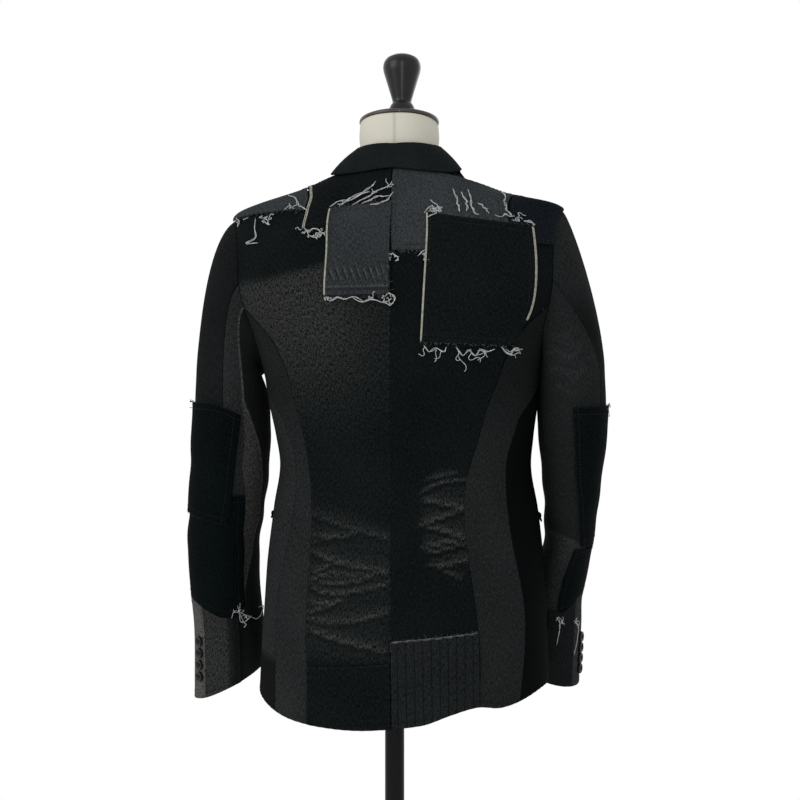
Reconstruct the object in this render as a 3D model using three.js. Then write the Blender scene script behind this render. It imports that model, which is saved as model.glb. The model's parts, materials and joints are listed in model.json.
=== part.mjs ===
// A black patchwork denim jacket on a limbless dress form with its stand.
// Millimetres, +Z up. The origin is the centre of the base's underside. The jacket's front faces
// -Y, its back faces +Y, and the wearer's left is +X.
//
// Every panel of cloth lies on one surface: a closed section at each height, given by its half
// width, back depth and front depth. A place on it is an angle round from the centre back
// (0 at the centre back, +90 at the wearer's left side, 180 at the centre front) and a height.
import * as THREE from 'three';

// ---- driving dimensions
const WALL = 2.0; // cloth with its turned edges
const PATCH_WALL = 1.4; // an applied patch
const SEAM_GAP = 0.3; // between pieces that meet at a seam
const PATCH_LIFT = 1.2; // underside of a patch above the panel it lies on
const RIDGE_LIFT = 1.6; // added to it over the shoulder, where the cloth turns most
const SECOND_LIFT = 3.4; // underside of a patch that overlaps another one
const FORM_SHIFT = -7; // the form's centre line, measured from the pole
const ROUNDNESS = 2.3; // exponent of the sections: 2 is an ellipse

// Body of the jacket: height against half width, back depth, front depth and sideways sway.
const HALF_WIDTH = [[770, 186], [830, 184], [890, 181], [950, 178], [1010, 171], [1065, 163],
  [1105, 166.5], [1140, 173], [1190, 179.5], [1230, 192], [1269, 210], [1300, 217], [1350, 215], [1385, 211],
  [1397, 210], [1407, 185], [1423, 130], [1440, 88], [1455, 64]];
const BACK_DEPTH = [[770, 134], [830, 126], [890, 116], [950, 104], [1010, 93], [1065, 87],
  [1120, 92], [1180, 103], [1240, 111], [1300, 113], [1350, 106], [1385, 94], [1400, 87],
  [1425, 74], [1440, 64], [1455, 56]];
const FRONT_DEPTH = [[770, 128], [830, 124], [890, 119], [950, 114], [1010, 109], [1065, 106],
  [1120, 108], [1180, 114], [1240, 118], [1300, 114], [1350, 98], [1385, 80], [1400, 71],
  [1425, 60], [1440, 54], [1455, 48]];
// How far each level line is let down at the shoulder, on the two sides.
const SHOULDER_DROP = {
  left: [[1300, 0], [1360, 3], [1385, 7], [1397, 9.5], [1415, 10.5], [1440, 10], [1455, 9]],
  right: [[1300, 0], [1360, 1], [1385, 4], [1397, 7], [1407, 12], [1415, 14], [1425, 12.5],
    [1440, 8.5], [1455, 8]],
};
const SWAY = [[770, -5], [900, -6], [1065, -6], [1200, -1], [1300, 3], [1400, 4], [1455, 1]];

// Height of the hem against the angle round: it rides up at the right back.
const HEM = [[-180, 772], [-130, 788], [-75, 800], [-50, 791], [-40, 794], [-28, 787], [-14, 776],
  [16, 768], [45, 768], [80, 780], [130, 784], [180, 772]];

// Heights of the cutting levels that all the body's panels share.
const LEVELS = [830, 880, 930, 980, 1030, 1065, 1100, 1140];
const ARM_LEVELS = [1295, 1325, 1355, 1380, 1397]; // along the armhole, on the back
const CHEST_LEVELS = [1228, 1265, ...ARM_LEVELS]; // along the armhole, in front
const SHOULDER_ROWS = [1403, 1411, 1423, 1440, 1455]; // along the shoulder seam
const NECK_ROWS = [1403, 1411, 1420, 1430, 1440]; // up the centre back to the neck

// Armhole, seen from the side: an oval with its widest reach behind and in front.
const ARMHOLE = { top: 1397, bottom: 1191, middleY: -4, backReach: 62, frontReach: 58 };
const SEAM_MEETS = 1265; // height where the back seam runs into the armhole

// Seams: height against the angle round. The back seam differs on the two sides.
const BACK_SEAM = {
  left: [[765, 40], [820, 43], [858, 46], [980, 52], [1035, 56], [1070, 58.5], [1140, 60],
    [1175, 60], [1200, 61.5], [1225, 64], [1265, 73]],
  right: [[765, 40], [820, 41.5], [880, 43], [985, 42.5], [1024, 43.5], [1048, 45.5], [1076, 49],
    [1104, 52], [1143, 54.5], [1175, 57.5], [1200, 59.5], [1225, 62], [1265, 73]],
};
const CENTRE_SEAM = [[765, 0], [915, 3], [1090, 5], [1232, 0], [1314, -2], [1389, -3], [1431, -1],
  [1455, -1]];
const FRONT_SEAM = [[765, 58.5], [820, 61], [894, 65], [976, 63.5], [1023, 64], [1055, 65.2],
  [1082, 66.5], [1107, 68.5], [1135, 71.5], [1191, 91.3]];

// Front edge: the overlap past the centre, the rounded corner, and the roll of the lapel.
const OVERLAP = 18;
const CORNER = { top: 850, height: 82, width: 70 };
const ROLL = { bottom: 1095, top: 1440, reach: 68 };
// How far the left front stands off to lie over the right one and, at the break, its lapel.
const OVER_LIFT = [[770, 3.8], [1050, 3.8], [1105, 7.4], [1190, 7.4], [1260, 0]];

// Sleeves: height against the ring's centre x and y and its half width and half depth.
const SLEEVE = {
  left: {
    x: [[755, 243], [838, 241], [902, 243], [966, 240], [1030, 229], [1094, 225], [1190, 223]],
    y: [[755, -60], [838, -50], [902, -38], [966, -24], [1030, -12], [1094, -6], [1190, -3]],
    half: [[755, 47], [838, 46], [902, 45], [966, 46], [1030, 47.5], [1094, 49.5], [1190, 46]],
    deep: [[755, 42], [838, 44], [902, 50], [966, 54], [1030, 57], [1094, 60], [1190, 62]],
    end: 763,
    endTilt: 24,
  },
  right: {
    x: [[755, 199], [850, 203], [883, 205], [913, 210], [944, 215], [975, 219], [1036, 220],
      [1127, 220], [1190, 219]],
    y: [[755, -104], [850, -87], [883, -80], [913, -70], [944, -57], [975, -45], [1036, -25],
      [1127, -8], [1190, -3]],
    half: [[755, 36], [850, 34], [883, 32], [913, 32], [944, 31], [975, 30.5], [1036, 34.8],
      [1127, 43], [1190, 42]],
    deep: [[755, 47], [850, 50], [913, 54], [975, 58], [1036, 60], [1127, 62], [1190, 62]],
    end: 772,
    endTilt: 10,
  },
};
const BICEPS = { height: 1165, tilt: 25 }; // the ring where the sleeve's head ends

// ---- helpers
const DEG = Math.PI / 180;
const vec = (x, y, z) => new THREE.Vector3(x, y, z);
const clamp = (x, low, high) => Math.min(Math.max(x, low), high);
const mix = (a, b, t) => a + (b - a) * t;
const step = (from, to, at) => {
  const t = clamp((at - from) / (to - from), 0, 1);
  return t * t * (3 - 2 * t);
};
const evenly = (count) => Array.from({ length: count + 1 }, (_, i) => i / count);

// A smooth curve through knots [at, value], with the slope at each knot taken from its neighbours.
function smooth(knots, at) {
  const last = knots.length - 1;
  const x = clamp(at, knots[0][0], knots[last][0]);
  let i = 0;
  while (i < last - 1 && x >= knots[i + 1][0]) i += 1;
  const slope = (k) => {
    const a = knots[Math.max(k - 1, 0)];
    const b = knots[Math.min(k + 1, last)];
    return (b[1] - a[1]) / (b[0] - a[0]);
  };
  const [x0, y0] = knots[i];
  const [x1, y1] = knots[i + 1];
  const h = x1 - x0;
  const t = (x - x0) / h;
  const u = 1 - t;
  return (1 + 2 * t) * u * u * y0 + t * u * u * h * slope(i)
    + t * t * (3 - 2 * t) * y1 - t * t * u * h * slope(i + 1);
}

// Reads a list of values at a fraction 0..1 of the way along it.
function along(values, share) {
  const at = share * (values.length - 1);
  const i = Math.min(Math.floor(at), values.length - 2);
  return mix(values[i], values[i + 1], at - i);
}

// A smooth edge through a list of [angle, height] points, read at a fraction 0..1.
function edgeAt(points, share) {
  const read = (k) => smooth(points.map((p, i) => [i / (points.length - 1), p[k]]), share);
  return [read(0), read(1)];
}

// A point on the jacket's surface, `lift` millimetres outside it.
function onBody(angle, height, lift = 0) {
  const s = Math.sin(angle * DEG);
  const c = Math.cos(angle * DEG);
  const half = smooth(HALF_WIDTH, height);
  const depth = smooth(c >= 0 ? BACK_DEPTH : FRONT_DEPTH, height);
  const r = (Math.abs(s / half) ** ROUNDNESS + Math.abs(c / depth) ** ROUNDNESS)
    ** (-1 / ROUNDNESS);
  const drop = mix(smooth(SHOULDER_DROP.right, height), smooth(SHOULDER_DROP.left, height),
    0.5 + 0.5 * s);
  const point = vec(r * s + smooth(SWAY, height), r * c, height - drop * Math.abs(s) ** 1.4);
  if (lift === 0) return point;
  const round = onBody(angle + 0.5, height).sub(onBody(angle - 0.5, height));
  const up = onBody(angle, height + 0.5).sub(onBody(angle, height - 0.5));
  return point.addScaledVector(up.cross(round).normalize(), lift);
}
const bodyCore = (p) => vec(smooth(SWAY, p.z), 0, Math.min(p.z, 1395));

// The angle round at a height where the surface lies `y` behind the form's centre.
function angleAtDepth(y, height) {
  const depth = smooth(y >= 0 ? BACK_DEPTH : FRONT_DEPTH, height);
  const share = clamp(Math.abs(y) / depth, 0, 0.999);
  const x = smooth(HALF_WIDTH, height) * (1 - share ** ROUNDNESS) ** (1 / ROUNDNESS);
  return Math.atan2(x, y) / DEG;
}

// The angle round at a height where the front lies `x` to one side of the centre front.
function angleAtWidth(x, height) {
  const share = clamp(Math.abs(x) / smooth(HALF_WIDTH, height), 0, 0.999);
  const y = smooth(FRONT_DEPTH, height) * (1 - share ** ROUNDNESS) ** (1 / ROUNDNESS);
  return 180 - Math.atan2(x, y) / DEG;
}

// Joins an outer and an inner grid of points into one closed body with its faces outwards.
function closedGrid(wide, high, outer, inner) {
  const points = [...outer, ...inner];
  const far = outer.length;
  const faces = [];
  const quad = (a, b, c, d) => faces.push([a, b, c], [a, c, d]);
  const at = (i, j) => j * wide + i;
  for (let j = 0; j < high - 1; j += 1) {
    for (let i = 0; i < wide - 1; i += 1) {
      quad(at(i, j), at(i + 1, j), at(i + 1, j + 1), at(i, j + 1));
      quad(far + at(i, j), far + at(i, j + 1), far + at(i + 1, j + 1), far + at(i + 1, j));
    }
  }
  for (let i = 0; i < wide - 1; i += 1) {
    const top = high - 1;
    quad(at(i, 0), far + at(i, 0), far + at(i + 1, 0), at(i + 1, 0));
    quad(at(i, top), at(i + 1, top), far + at(i + 1, top), far + at(i, top));
  }
  for (let j = 0; j < high - 1; j += 1) {
    const side = wide - 1;
    quad(at(0, j), at(0, j + 1), far + at(0, j + 1), far + at(0, j));
    quad(at(side, j), far + at(side, j), far + at(side, j + 1), at(side, j + 1));
  }
  const volume = faces.reduce((sum, [a, b, c]) => (
    sum + points[a].dot(points[b].clone().cross(points[c]))), 0);
  const geometry = new THREE.BufferGeometry().setFromPoints(points);
  geometry.setIndex(faces.flatMap(([a, b, c]) => (volume > 0 ? [a, b, c] : [a, c, b])));
  geometry.computeVertexNormals();
  return geometry;
}

// Closed wall of cloth: place(u, v) gives its outer face over the unit square, and core(point) a
// point on the side that the wall grows towards.
function clothWall(across, rows, place, core, wall = WALL) {
  const tiny = 1e-3;
  const outer = [];
  const inner = [];
  for (const v of rows) {
    for (const u of across) {
      const p = place(u, v);
      const du = place(Math.min(u + tiny, 1), v).sub(place(Math.max(u - tiny, 0), v));
      const dv = place(u, Math.min(v + tiny, 1)).sub(place(u, Math.max(v - tiny, 0)));
      const normal = du.cross(dv).normalize();
      if (normal.dot(core(p).sub(p)) > 0) normal.negate();
      outer.push(p);
      inner.push(p.clone().addScaledVector(normal, -wall));
    }
  }
  return closedGrid(across.length, rows.length, outer, inner);
}

const COLOURS = {
  black: [0x1f2124, 0.9],
  charcoal: [0x2e3136, 0.9],
  grey: [0x4a4e52, 0.9],
  faded: [0x6d6c66, 0.92],
  navy: [0x25262f, 0.9],
  pinstripe: [0x55585a, 0.9],
  wool: [0x24272b, 0.95],
  button: [0x15161a, 0.4],
  linen: [0xcfc6b2, 0.9],
  wood: [0x2a1d16, 0.5],
  gloss: [0x0b0b0c, 0.15],
  iron: [0x141415, 0.45, 0.6],
};

const dressed = new THREE.Group();
dressed.position.x = FORM_SHIFT;
const part = new THREE.Group();
part.add(dressed);

function add(group, name, geometry, [color, roughness, metalness = 0]) {
  const material = new THREE.MeshStandardMaterial({ color, roughness, metalness });
  const mesh = new THREE.Mesh(geometry, material);
  mesh.name = name;
  group.add(mesh);
  return mesh;
}

const SIDES = [['left', 1], ['right', -1]];

// ---- seams of the body
// Half a seam's gap as an angle, where the surface is about `radius` from the centre.
const halfGap = (radius) => SEAM_GAP / 2 / radius / DEG;

// A point of the armhole's oval: 0 at the top, 90 at the back, 180 at the bottom, 270 in front.
function armhole(turn) {
  const { top, bottom, middleY, backReach, frontReach } = ARMHOLE;
  const s = Math.sin(turn * DEG);
  const height = mix(bottom, top, 0.5 + 0.5 * Math.cos(turn * DEG));
  return { y: middleY + (s >= 0 ? backReach : frontReach) * s, height };
}
function armholeTurn(height) {
  const share = (height - ARMHOLE.bottom) / (ARMHOLE.top - ARMHOLE.bottom);
  return Math.acos(clamp(2 * share - 1, -1, 1)) / DEG;
}
const armholeAngle = (turn) => angleAtDepth(armhole(turn).y, armhole(turn).height);

function backEdge(name, height) {
  if (height <= SEAM_MEETS) return smooth(BACK_SEAM[name], height);
  return height >= ARMHOLE.top ? 90 : armholeAngle(armholeTurn(height));
}
function sideFrontEdge(height) {
  if (height <= ARMHOLE.bottom) return smooth(FRONT_SEAM, height);
  return height >= ARMHOLE.top ? 90 : armholeAngle(-armholeTurn(height));
}
// Columns drawn closer together towards the shoulder seam, where the cloth turns most.
const towardsRidge = (u) => 1 - (1 - u) ** 1.5;
const hemHeight = (side, angle) => smooth(HEM, side * angle);

// The rows between the last shared level and where a seam meets the armhole.
const lastLevel = LEVELS[LEVELS.length - 1];
const rise = (top) => [1, 2, 3].map((k) => mix(lastLevel, top, k / 3));

// ---- back panels: centre back to the back seam, the armhole, the shoulder and the neck
function backPanel(name, side) {
  const trunk = [765, ...LEVELS, ...rise(SEAM_MEETS), ...ARM_LEVELS];
  const outerRows = [...trunk, ...SHOULDER_ROWS];
  const centreRows = [...trunk, ...NECK_ROWS];
  const place = (u, v) => {
    const from = side * smooth(CENTRE_SEAM, along(centreRows, v)) + halfGap(100);
    const angle = mix(from, backEdge(name, along(outerRows, v)) - halfGap(130), u);
    const bottom = hemHeight(side, angle);
    const outer = along([bottom, ...outerRows.slice(1)], v);
    const centre = along([bottom, ...centreRows.slice(1)], v);
    return onBody(side * angle, mix(centre, outer, Math.sin(angle * DEG) ** 2));
  };
  return clothWall(evenly(8).map(towardsRidge), evenly(outerRows.length - 1), place, bodyCore);
}

// ---- side panels: a strip from the hem up to the lower back quarter of the armhole
const SIDE_COLUMNS = 4;
const sideTurn = (u) => mix(armholeTurn(SEAM_MEETS), 180, u);
function sidePanel(name, side) {
  const backRows = [765, ...LEVELS, ...rise(SEAM_MEETS)];
  const frontRows = [765, ...LEVELS, ...rise(ARMHOLE.bottom)];
  const levelShare = LEVELS.length / (backRows.length - 1);
  const place = (u, v) => {
    const share = clamp((v - levelShare) / (1 - levelShare), 0, 1);
    const rear = smooth(BACK_SEAM[name], along(backRows, v)) + halfGap(150);
    const fore = smooth(FRONT_SEAM, along(frontRows, v)) - halfGap(170);
    const topShare = (armholeAngle(sideTurn(u)) - 73) / (armholeAngle(180) - 73);
    const angle = mix(rear, fore, mix(u, clamp(topShare, 0, 1), share));
    const top = armhole(sideTurn(u)).height;
    const level = along([hemHeight(side, angle), ...LEVELS], clamp(v / levelShare, 0, 1));
    return onBody(side * angle, share > 0 ? mix(lastLevel, top, share) : level);
  };
  return clothWall(evenly(SIDE_COLUMNS), evenly(backRows.length - 1), place, bodyCore);
}

// ---- front panels: side seam, armhole and shoulder to the front edge and the lapel's roll
const overLift = (side, angle, height) => (side > 0
  ? smooth(OVER_LIFT, height) * (1 - step(11, 30, 180 - angle)) : 0);
function frontEdgeWidth(height) {
  const t = clamp((CORNER.top - height) / CORNER.height, 0, 1);
  const corner = CORNER.width * (1 - Math.sqrt(1 - t * t));
  const roll = ROLL.reach * Math.max((height - ROLL.bottom) / (ROLL.top - ROLL.bottom), 0);
  return corner + roll - OVERLAP;
}
const frontEdge = (height) => angleAtWidth(frontEdgeWidth(height), height);
const NECK_DROP = 14; // fall of the front neckline from the shoulder to the front edge
function frontPanel(name, side) {
  const rows = [775, ...LEVELS, ...rise(ARMHOLE.bottom), ...CHEST_LEVELS, ...SHOULDER_ROWS];
  const place = (u, v) => {
    const level = along(rows, v);
    const angle = mix(sideFrontEdge(level) + halfGap(150), frontEdge(level), u);
    const drop = NECK_DROP * u * step(1 - 2.5 / rows.length, 1, v);
    const height = along([hemHeight(side, angle), ...rows.slice(1)], v) - drop;
    return onBody(side * angle, height, overLift(side, angle, height));
  };
  return clothWall(evenly(8), evenly(rows.length - 1), place, bodyCore);
}

const PANEL_COLOURS = {
  left: [COLOURS.faded, COLOURS.grey, COLOURS.grey],
  right: [COLOURS.black, COLOURS.grey, COLOURS.black],
};
for (const [name, side] of SIDES) {
  const [back, flank, front] = PANEL_COLOURS[name];
  add(dressed, `back_${name}`, backPanel(name, side), back);
  add(dressed, `side_${name}`, sidePanel(name, side), flank);
  add(dressed, `front_${name}`, frontPanel(name, side), front);
}

// ---- applied patches on the back: a lower and an upper layer, each between two edges that run
// upwards through [angle, height] points, with the top edge bowed up by `bow`
const PATCHES = [
  { name: 'shoulder_patch_left', colour: COLOURS.grey, columns: 6, rows: 6, bow: 0,
    from: [[50.2, 1386], [53, 1405], [65, 1422], [87, 1428.6]],
    to: [[84, 1391], [86, 1395], [88, 1398.5]] },
  { name: 'yoke_patch_left', colour: COLOURS.black, columns: 7, rows: 8, bow: 5,
    from: [[-2.1, 1360], [-0.4, 1434]],
    to: [[47.5, 1357], [49, 1382], [52, 1405], [64, 1423], [87, 1430]] },
  { name: 'centre_patch_left', colour: COLOURS.grey, columns: 6, rows: 5, bow: 0, upper: true,
    from: [[-0.5, 1274], [-2.4, 1384]], to: [[35, 1274], [34.2, 1327], [37.5, 1381]] },
  { name: 'yoke_patch_right', colour: COLOURS.grey, columns: 8, rows: 9, bow: 5,
    from: [[-2.9, 1326], [-1.6, 1434]],
    to: [[-58, 1326], [-60.5, 1371], [-66.2, 1402], [-87, 1419]] },
  { name: 'shoulder_patch_right', colour: COLOURS.navy, columns: 5, rows: 7, bow: 0,
    from: [[-59.2, 1337], [-61.2, 1371], [-66.9, 1402], [-87.5, 1418]],
    to: [[-74.6, 1338], [-78.5, 1368], [-84, 1391], [-88, 1398.5]] },
  { name: 'big_patch_right', colour: COLOURS.black, columns: 8, rows: 6, bow: 0, upper: true,
    from: [[-18, 1219], [-21, 1297], [-25, 1371]],
    to: [[-61, 1216], [-65.4, 1254], [-66.2, 1305], [-67.4, 1357]] },
];
function backPatch({ columns, rows, bow, from, to, upper = false }) {
  const lift = (upper ? SECOND_LIFT : PATCH_LIFT) + PATCH_WALL;
  const place = (u, v) => {
    const [angleA, heightA] = edgeAt(from, v);
    const [angleB, heightB] = edgeAt(to, v);
    const height = mix(heightA, heightB, u) + bow * v * Math.sin(Math.PI * u);
    const ridge = RIDGE_LIFT * step(1388, 1408, height);
    return onBody(mix(angleA, angleB, u), height, lift + ridge);
  };
  return clothWall(evenly(columns), evenly(rows), place, bodyCore, PATCH_WALL);
}
for (const patch of PATCHES) add(dressed, patch.name, backPatch(patch), patch.colour);

// ---- blocks of other denim let onto the hem, from the centre back to the back seam
function hemBlock(name, side, topCentre, topSeam) {
  const place = (u, v) => {
    const seam = smooth(BACK_SEAM[name], mix(790, topSeam, v)) - 0.4;
    const centre = side * smooth(CENTRE_SEAM, mix(790, topCentre, v));
    const angle = mix(centre + 0.4, seam, u);
    const height = mix(hemHeight(side, angle) + 0.8, mix(topCentre, topSeam, u), v);
    return onBody(side * angle, height, PATCH_LIFT + PATCH_WALL);
  };
  return clothWall(evenly(8), evenly(3), place, bodyCore, PATCH_WALL);
}
add(dressed, 'hem_block_left', hemBlock('left', 1, 844, 833), COLOURS.black);
add(dressed, 'hem_block_right', hemBlock('right', -1, 867, 877), COLOURS.pinstripe);

// ---- hip pocket welts, which reach round to where the side seams show
const WELT = { from: 86, to: 130, top: 1004, drop: 9 };
for (const [name, side] of SIDES) {
  const place = (u, v) => onBody(side * mix(WELT.from, WELT.to, u),
    WELT.top - WELT.drop * (1 - v), PATCH_LIFT + WALL);
  const welt = clothWall(evenly(7), evenly(2), place, bodyCore);
  add(dressed, `pocket_welt_${name}`, welt, COLOURS.black);
}

// ---- collar: the stand rises to the fold, and the fall turns down over the neck seam
const COLLAR_END = 128;
const FOLD_HEIGHT = [[0, 1465], [45, 1468.5], [90, 1471], [128, 1451]];
const FALL_EDGE = [[0, 1428], [45, 1430], [90, 1447], [115, 1429], [128, 1414]];
const FALL_LIFT = 7.4;
function foldPoint(angle, inset = 0) {
  const s = Math.sin(angle * DEG);
  const c = Math.cos(angle * DEG);
  const depth = (c >= 0 ? 66 : 50) - inset;
  return vec((57 - inset) * s, depth * c, smooth(FOLD_HEIGHT, Math.abs(angle)));
}
function collarFall() {
  const place = (u, v) => {
    const angle = mix(-COLLAR_END, COLLAR_END, u);
    const edge = onBody(angle, smooth(FALL_EDGE, Math.abs(angle)), FALL_LIFT);
    const fold = foldPoint(angle);
    const out = vec(fold.x, fold.y, 30).normalize();
    const bulge = 3.2 - 2 * step(40, 80, Math.abs(angle));
    return fold.lerp(edge, v).addScaledVector(out, bulge * Math.sin(Math.PI * v));
  };
  return clothWall(evenly(18), evenly(3), place, () => vec(0, 0, 1380));
}
function collarStand() {
  const place = (u, v) => {
    const angle = mix(-COLLAR_END, COLLAR_END, u);
    const s = Math.sin(angle * DEG);
    const c = Math.cos(angle * DEG);
    const front = step(100, COLLAR_END, Math.abs(angle));
    const base = vec(60.5 * s, (c >= 0 ? 61 : 43) * c, 1442 + 6 * s * s - 8 * front);
    const top = foldPoint(angle, 2.6).add(vec(0, 0, -1.5));
    return base.lerp(top, v);
  };
  return clothWall(evenly(16), evenly(2), place, (p) => vec(0, 0, p.z));
}
add(dressed, 'collar_fall', collarFall(), COLOURS.wool);
add(dressed, 'collar_stand', collarStand(), COLOURS.wool);

// ---- lapels: turned back along the roll, from the break to the gorge
const LAPEL_EDGE = [[0, 1106, -15], [0.25, 1168, 24], [0.5, 1236, 58], [0.75, 1306, 88],
  [1, 1372, 112]];
const LAPEL_TOP = 1436;
const LAPEL_LIFT = 3.4;
const LAPEL_WALL = 1.8;
const lapelEdge = (k, v) => smooth(LAPEL_EDGE.map((row) => [row[0], row[k]]), v);
function lapel(side) {
  const place = (u, v) => {
    const rollHeight = mix(ROLL.bottom + 6, LAPEL_TOP, v);
    const height = mix(rollHeight, lapelEdge(1, v), u);
    const width = mix(frontEdgeWidth(rollHeight) + 0.5, lapelEdge(2, v), u);
    const angle = angleAtWidth(width, height);
    const lift = LAPEL_LIFT + 3 * Math.sin(Math.PI * u) * step(0, 0.3, v);
    return onBody(side * angle, height, lift + overLift(side, angle, height));
  };
  return clothWall(evenly(5), evenly(8), place, bodyCore, LAPEL_WALL);
}
for (const [name, side] of SIDES) add(dressed, `lapel_${name}`, lapel(side), COLOURS.black);

// ---- sleeves
const HEAD_PUFF = { left: 0.55, right: 0.15 }; // how far the head springs out of the armhole
// A point on a sleeve below its head: `turn` is 0 outside, 90 behind, 180 against the body.
function onTube(name, side, turn, height, lift = 0) {
  const ring = SLEEVE[name];
  const c = Math.cos(turn * DEG);
  const s = Math.sin(turn * DEG);
  const half = smooth(ring.half, height) + lift;
  const deep = smooth(ring.deep, height) + lift;
  const x = smooth(ring.x, height) + half * c;
  return vec(side * x, smooth(ring.y, height) + deep * s, height);
}
const bicepsHeight = (turn) => BICEPS.height + BICEPS.tilt * Math.cos(turn * DEG);
const cuffHeight = (name, turn) => (
  SLEEVE[name].end - SLEEVE[name].endTilt * Math.cos((turn - 15) * DEG));

// A point of the sleeve's head: it leaves the armhole outwards and turns down to the biceps ring.
function onHead(name, side, armTurn, tubeTurn, share) {
  const edge = armhole(armTurn);
  const start = onBody(side * Math.abs(armholeAngle(armTurn)), edge.height);
  const c = Math.cos(armTurn * DEG);
  const s = Math.sin(armTurn * DEG);
  const out = vec(side * (0.62 + 0.25 * c), 0.28 * s, -0.68 + 0.24 * c).normalize();
  start.addScaledVector(out, SEAM_GAP + 0.1);
  const ring = bicepsHeight(tubeTurn);
  const end = onTube(name, side, tubeTurn, ring);
  const down = onTube(name, side, tubeTurn, ring - 1).sub(end).normalize();
  const reach = start.distanceTo(end);
  const t = share;
  const w = 1 - t;
  return start.multiplyScalar((1 + 2 * t) * w * w)
    .addScaledVector(out, t * w * w * reach * HEAD_PUFF[name])
    .addScaledVector(end, t * t * (3 - 2 * t))
    .addScaledVector(down, -t * t * w * reach * 1.05);
}

// Seams of the sleeve: turns at the armhole, which fall on the panels' own corners, and the
// turns of the hind and fore seams lower down.
const HEAD_ROWS = 5;
const TUBE_ROWS = 10;
const armTurns = (heights, sign) => heights.map((h) => sign * armholeTurn(h));
const SEAM_TURN_GAP = 0.18; // half a seam's gap as a turn of the sleeve
const HEAD_SPLIT = 1295; // height on the back of the armhole where the hind seam starts
const UPPER_TURNS = [...armTurns(CHEST_LEVELS, -1), ...armTurns([1380, 1355, 1325, HEAD_SPLIT], 1)];
const UNDER_TURNS = [...armTurns([HEAD_SPLIT], 1), ...evenly(SIDE_COLUMNS).map(sideTurn),
  360 + armTurns(CHEST_LEVELS.slice(0, 1), -1)[0]];
const trimEnds = (turns) => turns.map((turn, i) => {
  if (i === 0) return turn + SEAM_TURN_GAP;
  return i === turns.length - 1 ? turn - SEAM_TURN_GAP : turn;
});
const HIND_SEAM = { left: [[0, 96], [1, 97]], right: [[0, 42], [0.3, 45], [1, 60]] };
const FORE_TURN = -72;

function sleevePart(name, side, turns, tubeFrom, tubeTo) {
  const rows = HEAD_ROWS + TUBE_ROWS;
  const place = (u, v) => {
    const at = (v * rows) / HEAD_ROWS;
    const share = Math.min(at, 1);
    const down = clamp((v * rows - HEAD_ROWS) / TUBE_ROWS, 0, 1);
    const ringTurn = mix(tubeFrom(down), tubeTo(down), u);
    if (at > 1) {
      const height = mix(bicepsHeight(ringTurn), cuffHeight(name, ringTurn), down);
      return onTube(name, side, ringTurn, height);
    }
    return onHead(name, side, along(trimEnds(turns), u), ringTurn, share);
  };
  const core = (p) => {
    const ring = SLEEVE[name];
    return vec(side * smooth(ring.x, p.z), smooth(ring.y, p.z), Math.min(p.z, 1300));
  };
  return clothWall(evenly(turns.length - 1), evenly(rows), place, core);
}
for (const [name, side] of SIDES) {
  const hind = (down) => smooth(HIND_SEAM[name], down);
  const upper = sleevePart(name, side, UPPER_TURNS,
    () => FORE_TURN + SEAM_TURN_GAP, (down) => hind(down) - SEAM_TURN_GAP);
  const under = sleevePart(name, side, UNDER_TURNS,
    (down) => hind(down) + SEAM_TURN_GAP, () => 360 + FORE_TURN - SEAM_TURN_GAP);
  add(dressed, `sleeve_upper_${name}`, upper, COLOURS.charcoal);
  add(dressed, `sleeve_under_${name}`, under, COLOURS.grey);
}

// ---- blocks of other denim on the lower sleeves
// Height of the lower block's hem against the turn round the sleeve.
const BLOCK_HEM = {
  left: [[-60, 890], [33, 885], [70, 873], [97, 863], [124, 867], [136, 880]],
  right: [[-60, 900], [22, 897], [60, 884], [80, 874], [118, 880]],
};
const SLEEVE_LIFT = 2.0; // underside of a sleeve's patch above the sleeve
const OVERLAP_LIFT = 5.2; // where the elbow patch covers the top of the block
function sleevePatch(name, side, { columns, rows, turns, low, high, lift }) {
  const place = (u, v) => {
    const turn = mix(turns[0], along(turns.slice(1), v), u);
    const height = mix(low(turn), high(turn), v);
    return onTube(name, side, turn, height, lift(v) + PATCH_WALL);
  };
  const core = (p) => vec(side * smooth(SLEEVE[name].x, p.z), smooth(SLEEVE[name].y, p.z), p.z);
  return clothWall(evenly(columns), evenly(rows), place, core, PATCH_WALL);
}
const flat = () => SLEEVE_LIFT;
const ELBOW = {
  left: { turns: [-60, 109, 113, 121], top: [[-60, 1147], [80, 1145], [121, 1131]],
    hem: [[-60, 1003], [40, 1003], [110, 990]] },
  right: { turns: [-60, 66, 88, 95], top: [[-60, 1143], [95, 1141]], hem: [[-60, 964], [72, 964]] },
};
const BLOCK = { left: { turns: [-60, 135, 139, 130], top: 1027 },
  right: { turns: [-60, 90, 91, 81], top: 960 } };
const VENT = { left: { from: -10, to: 61.5 }, right: { from: -14, to: 48.5 } };
const CUFF = { left: { from: 63, to: 121 }, right: { from: 50, to: 108 } };
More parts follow.
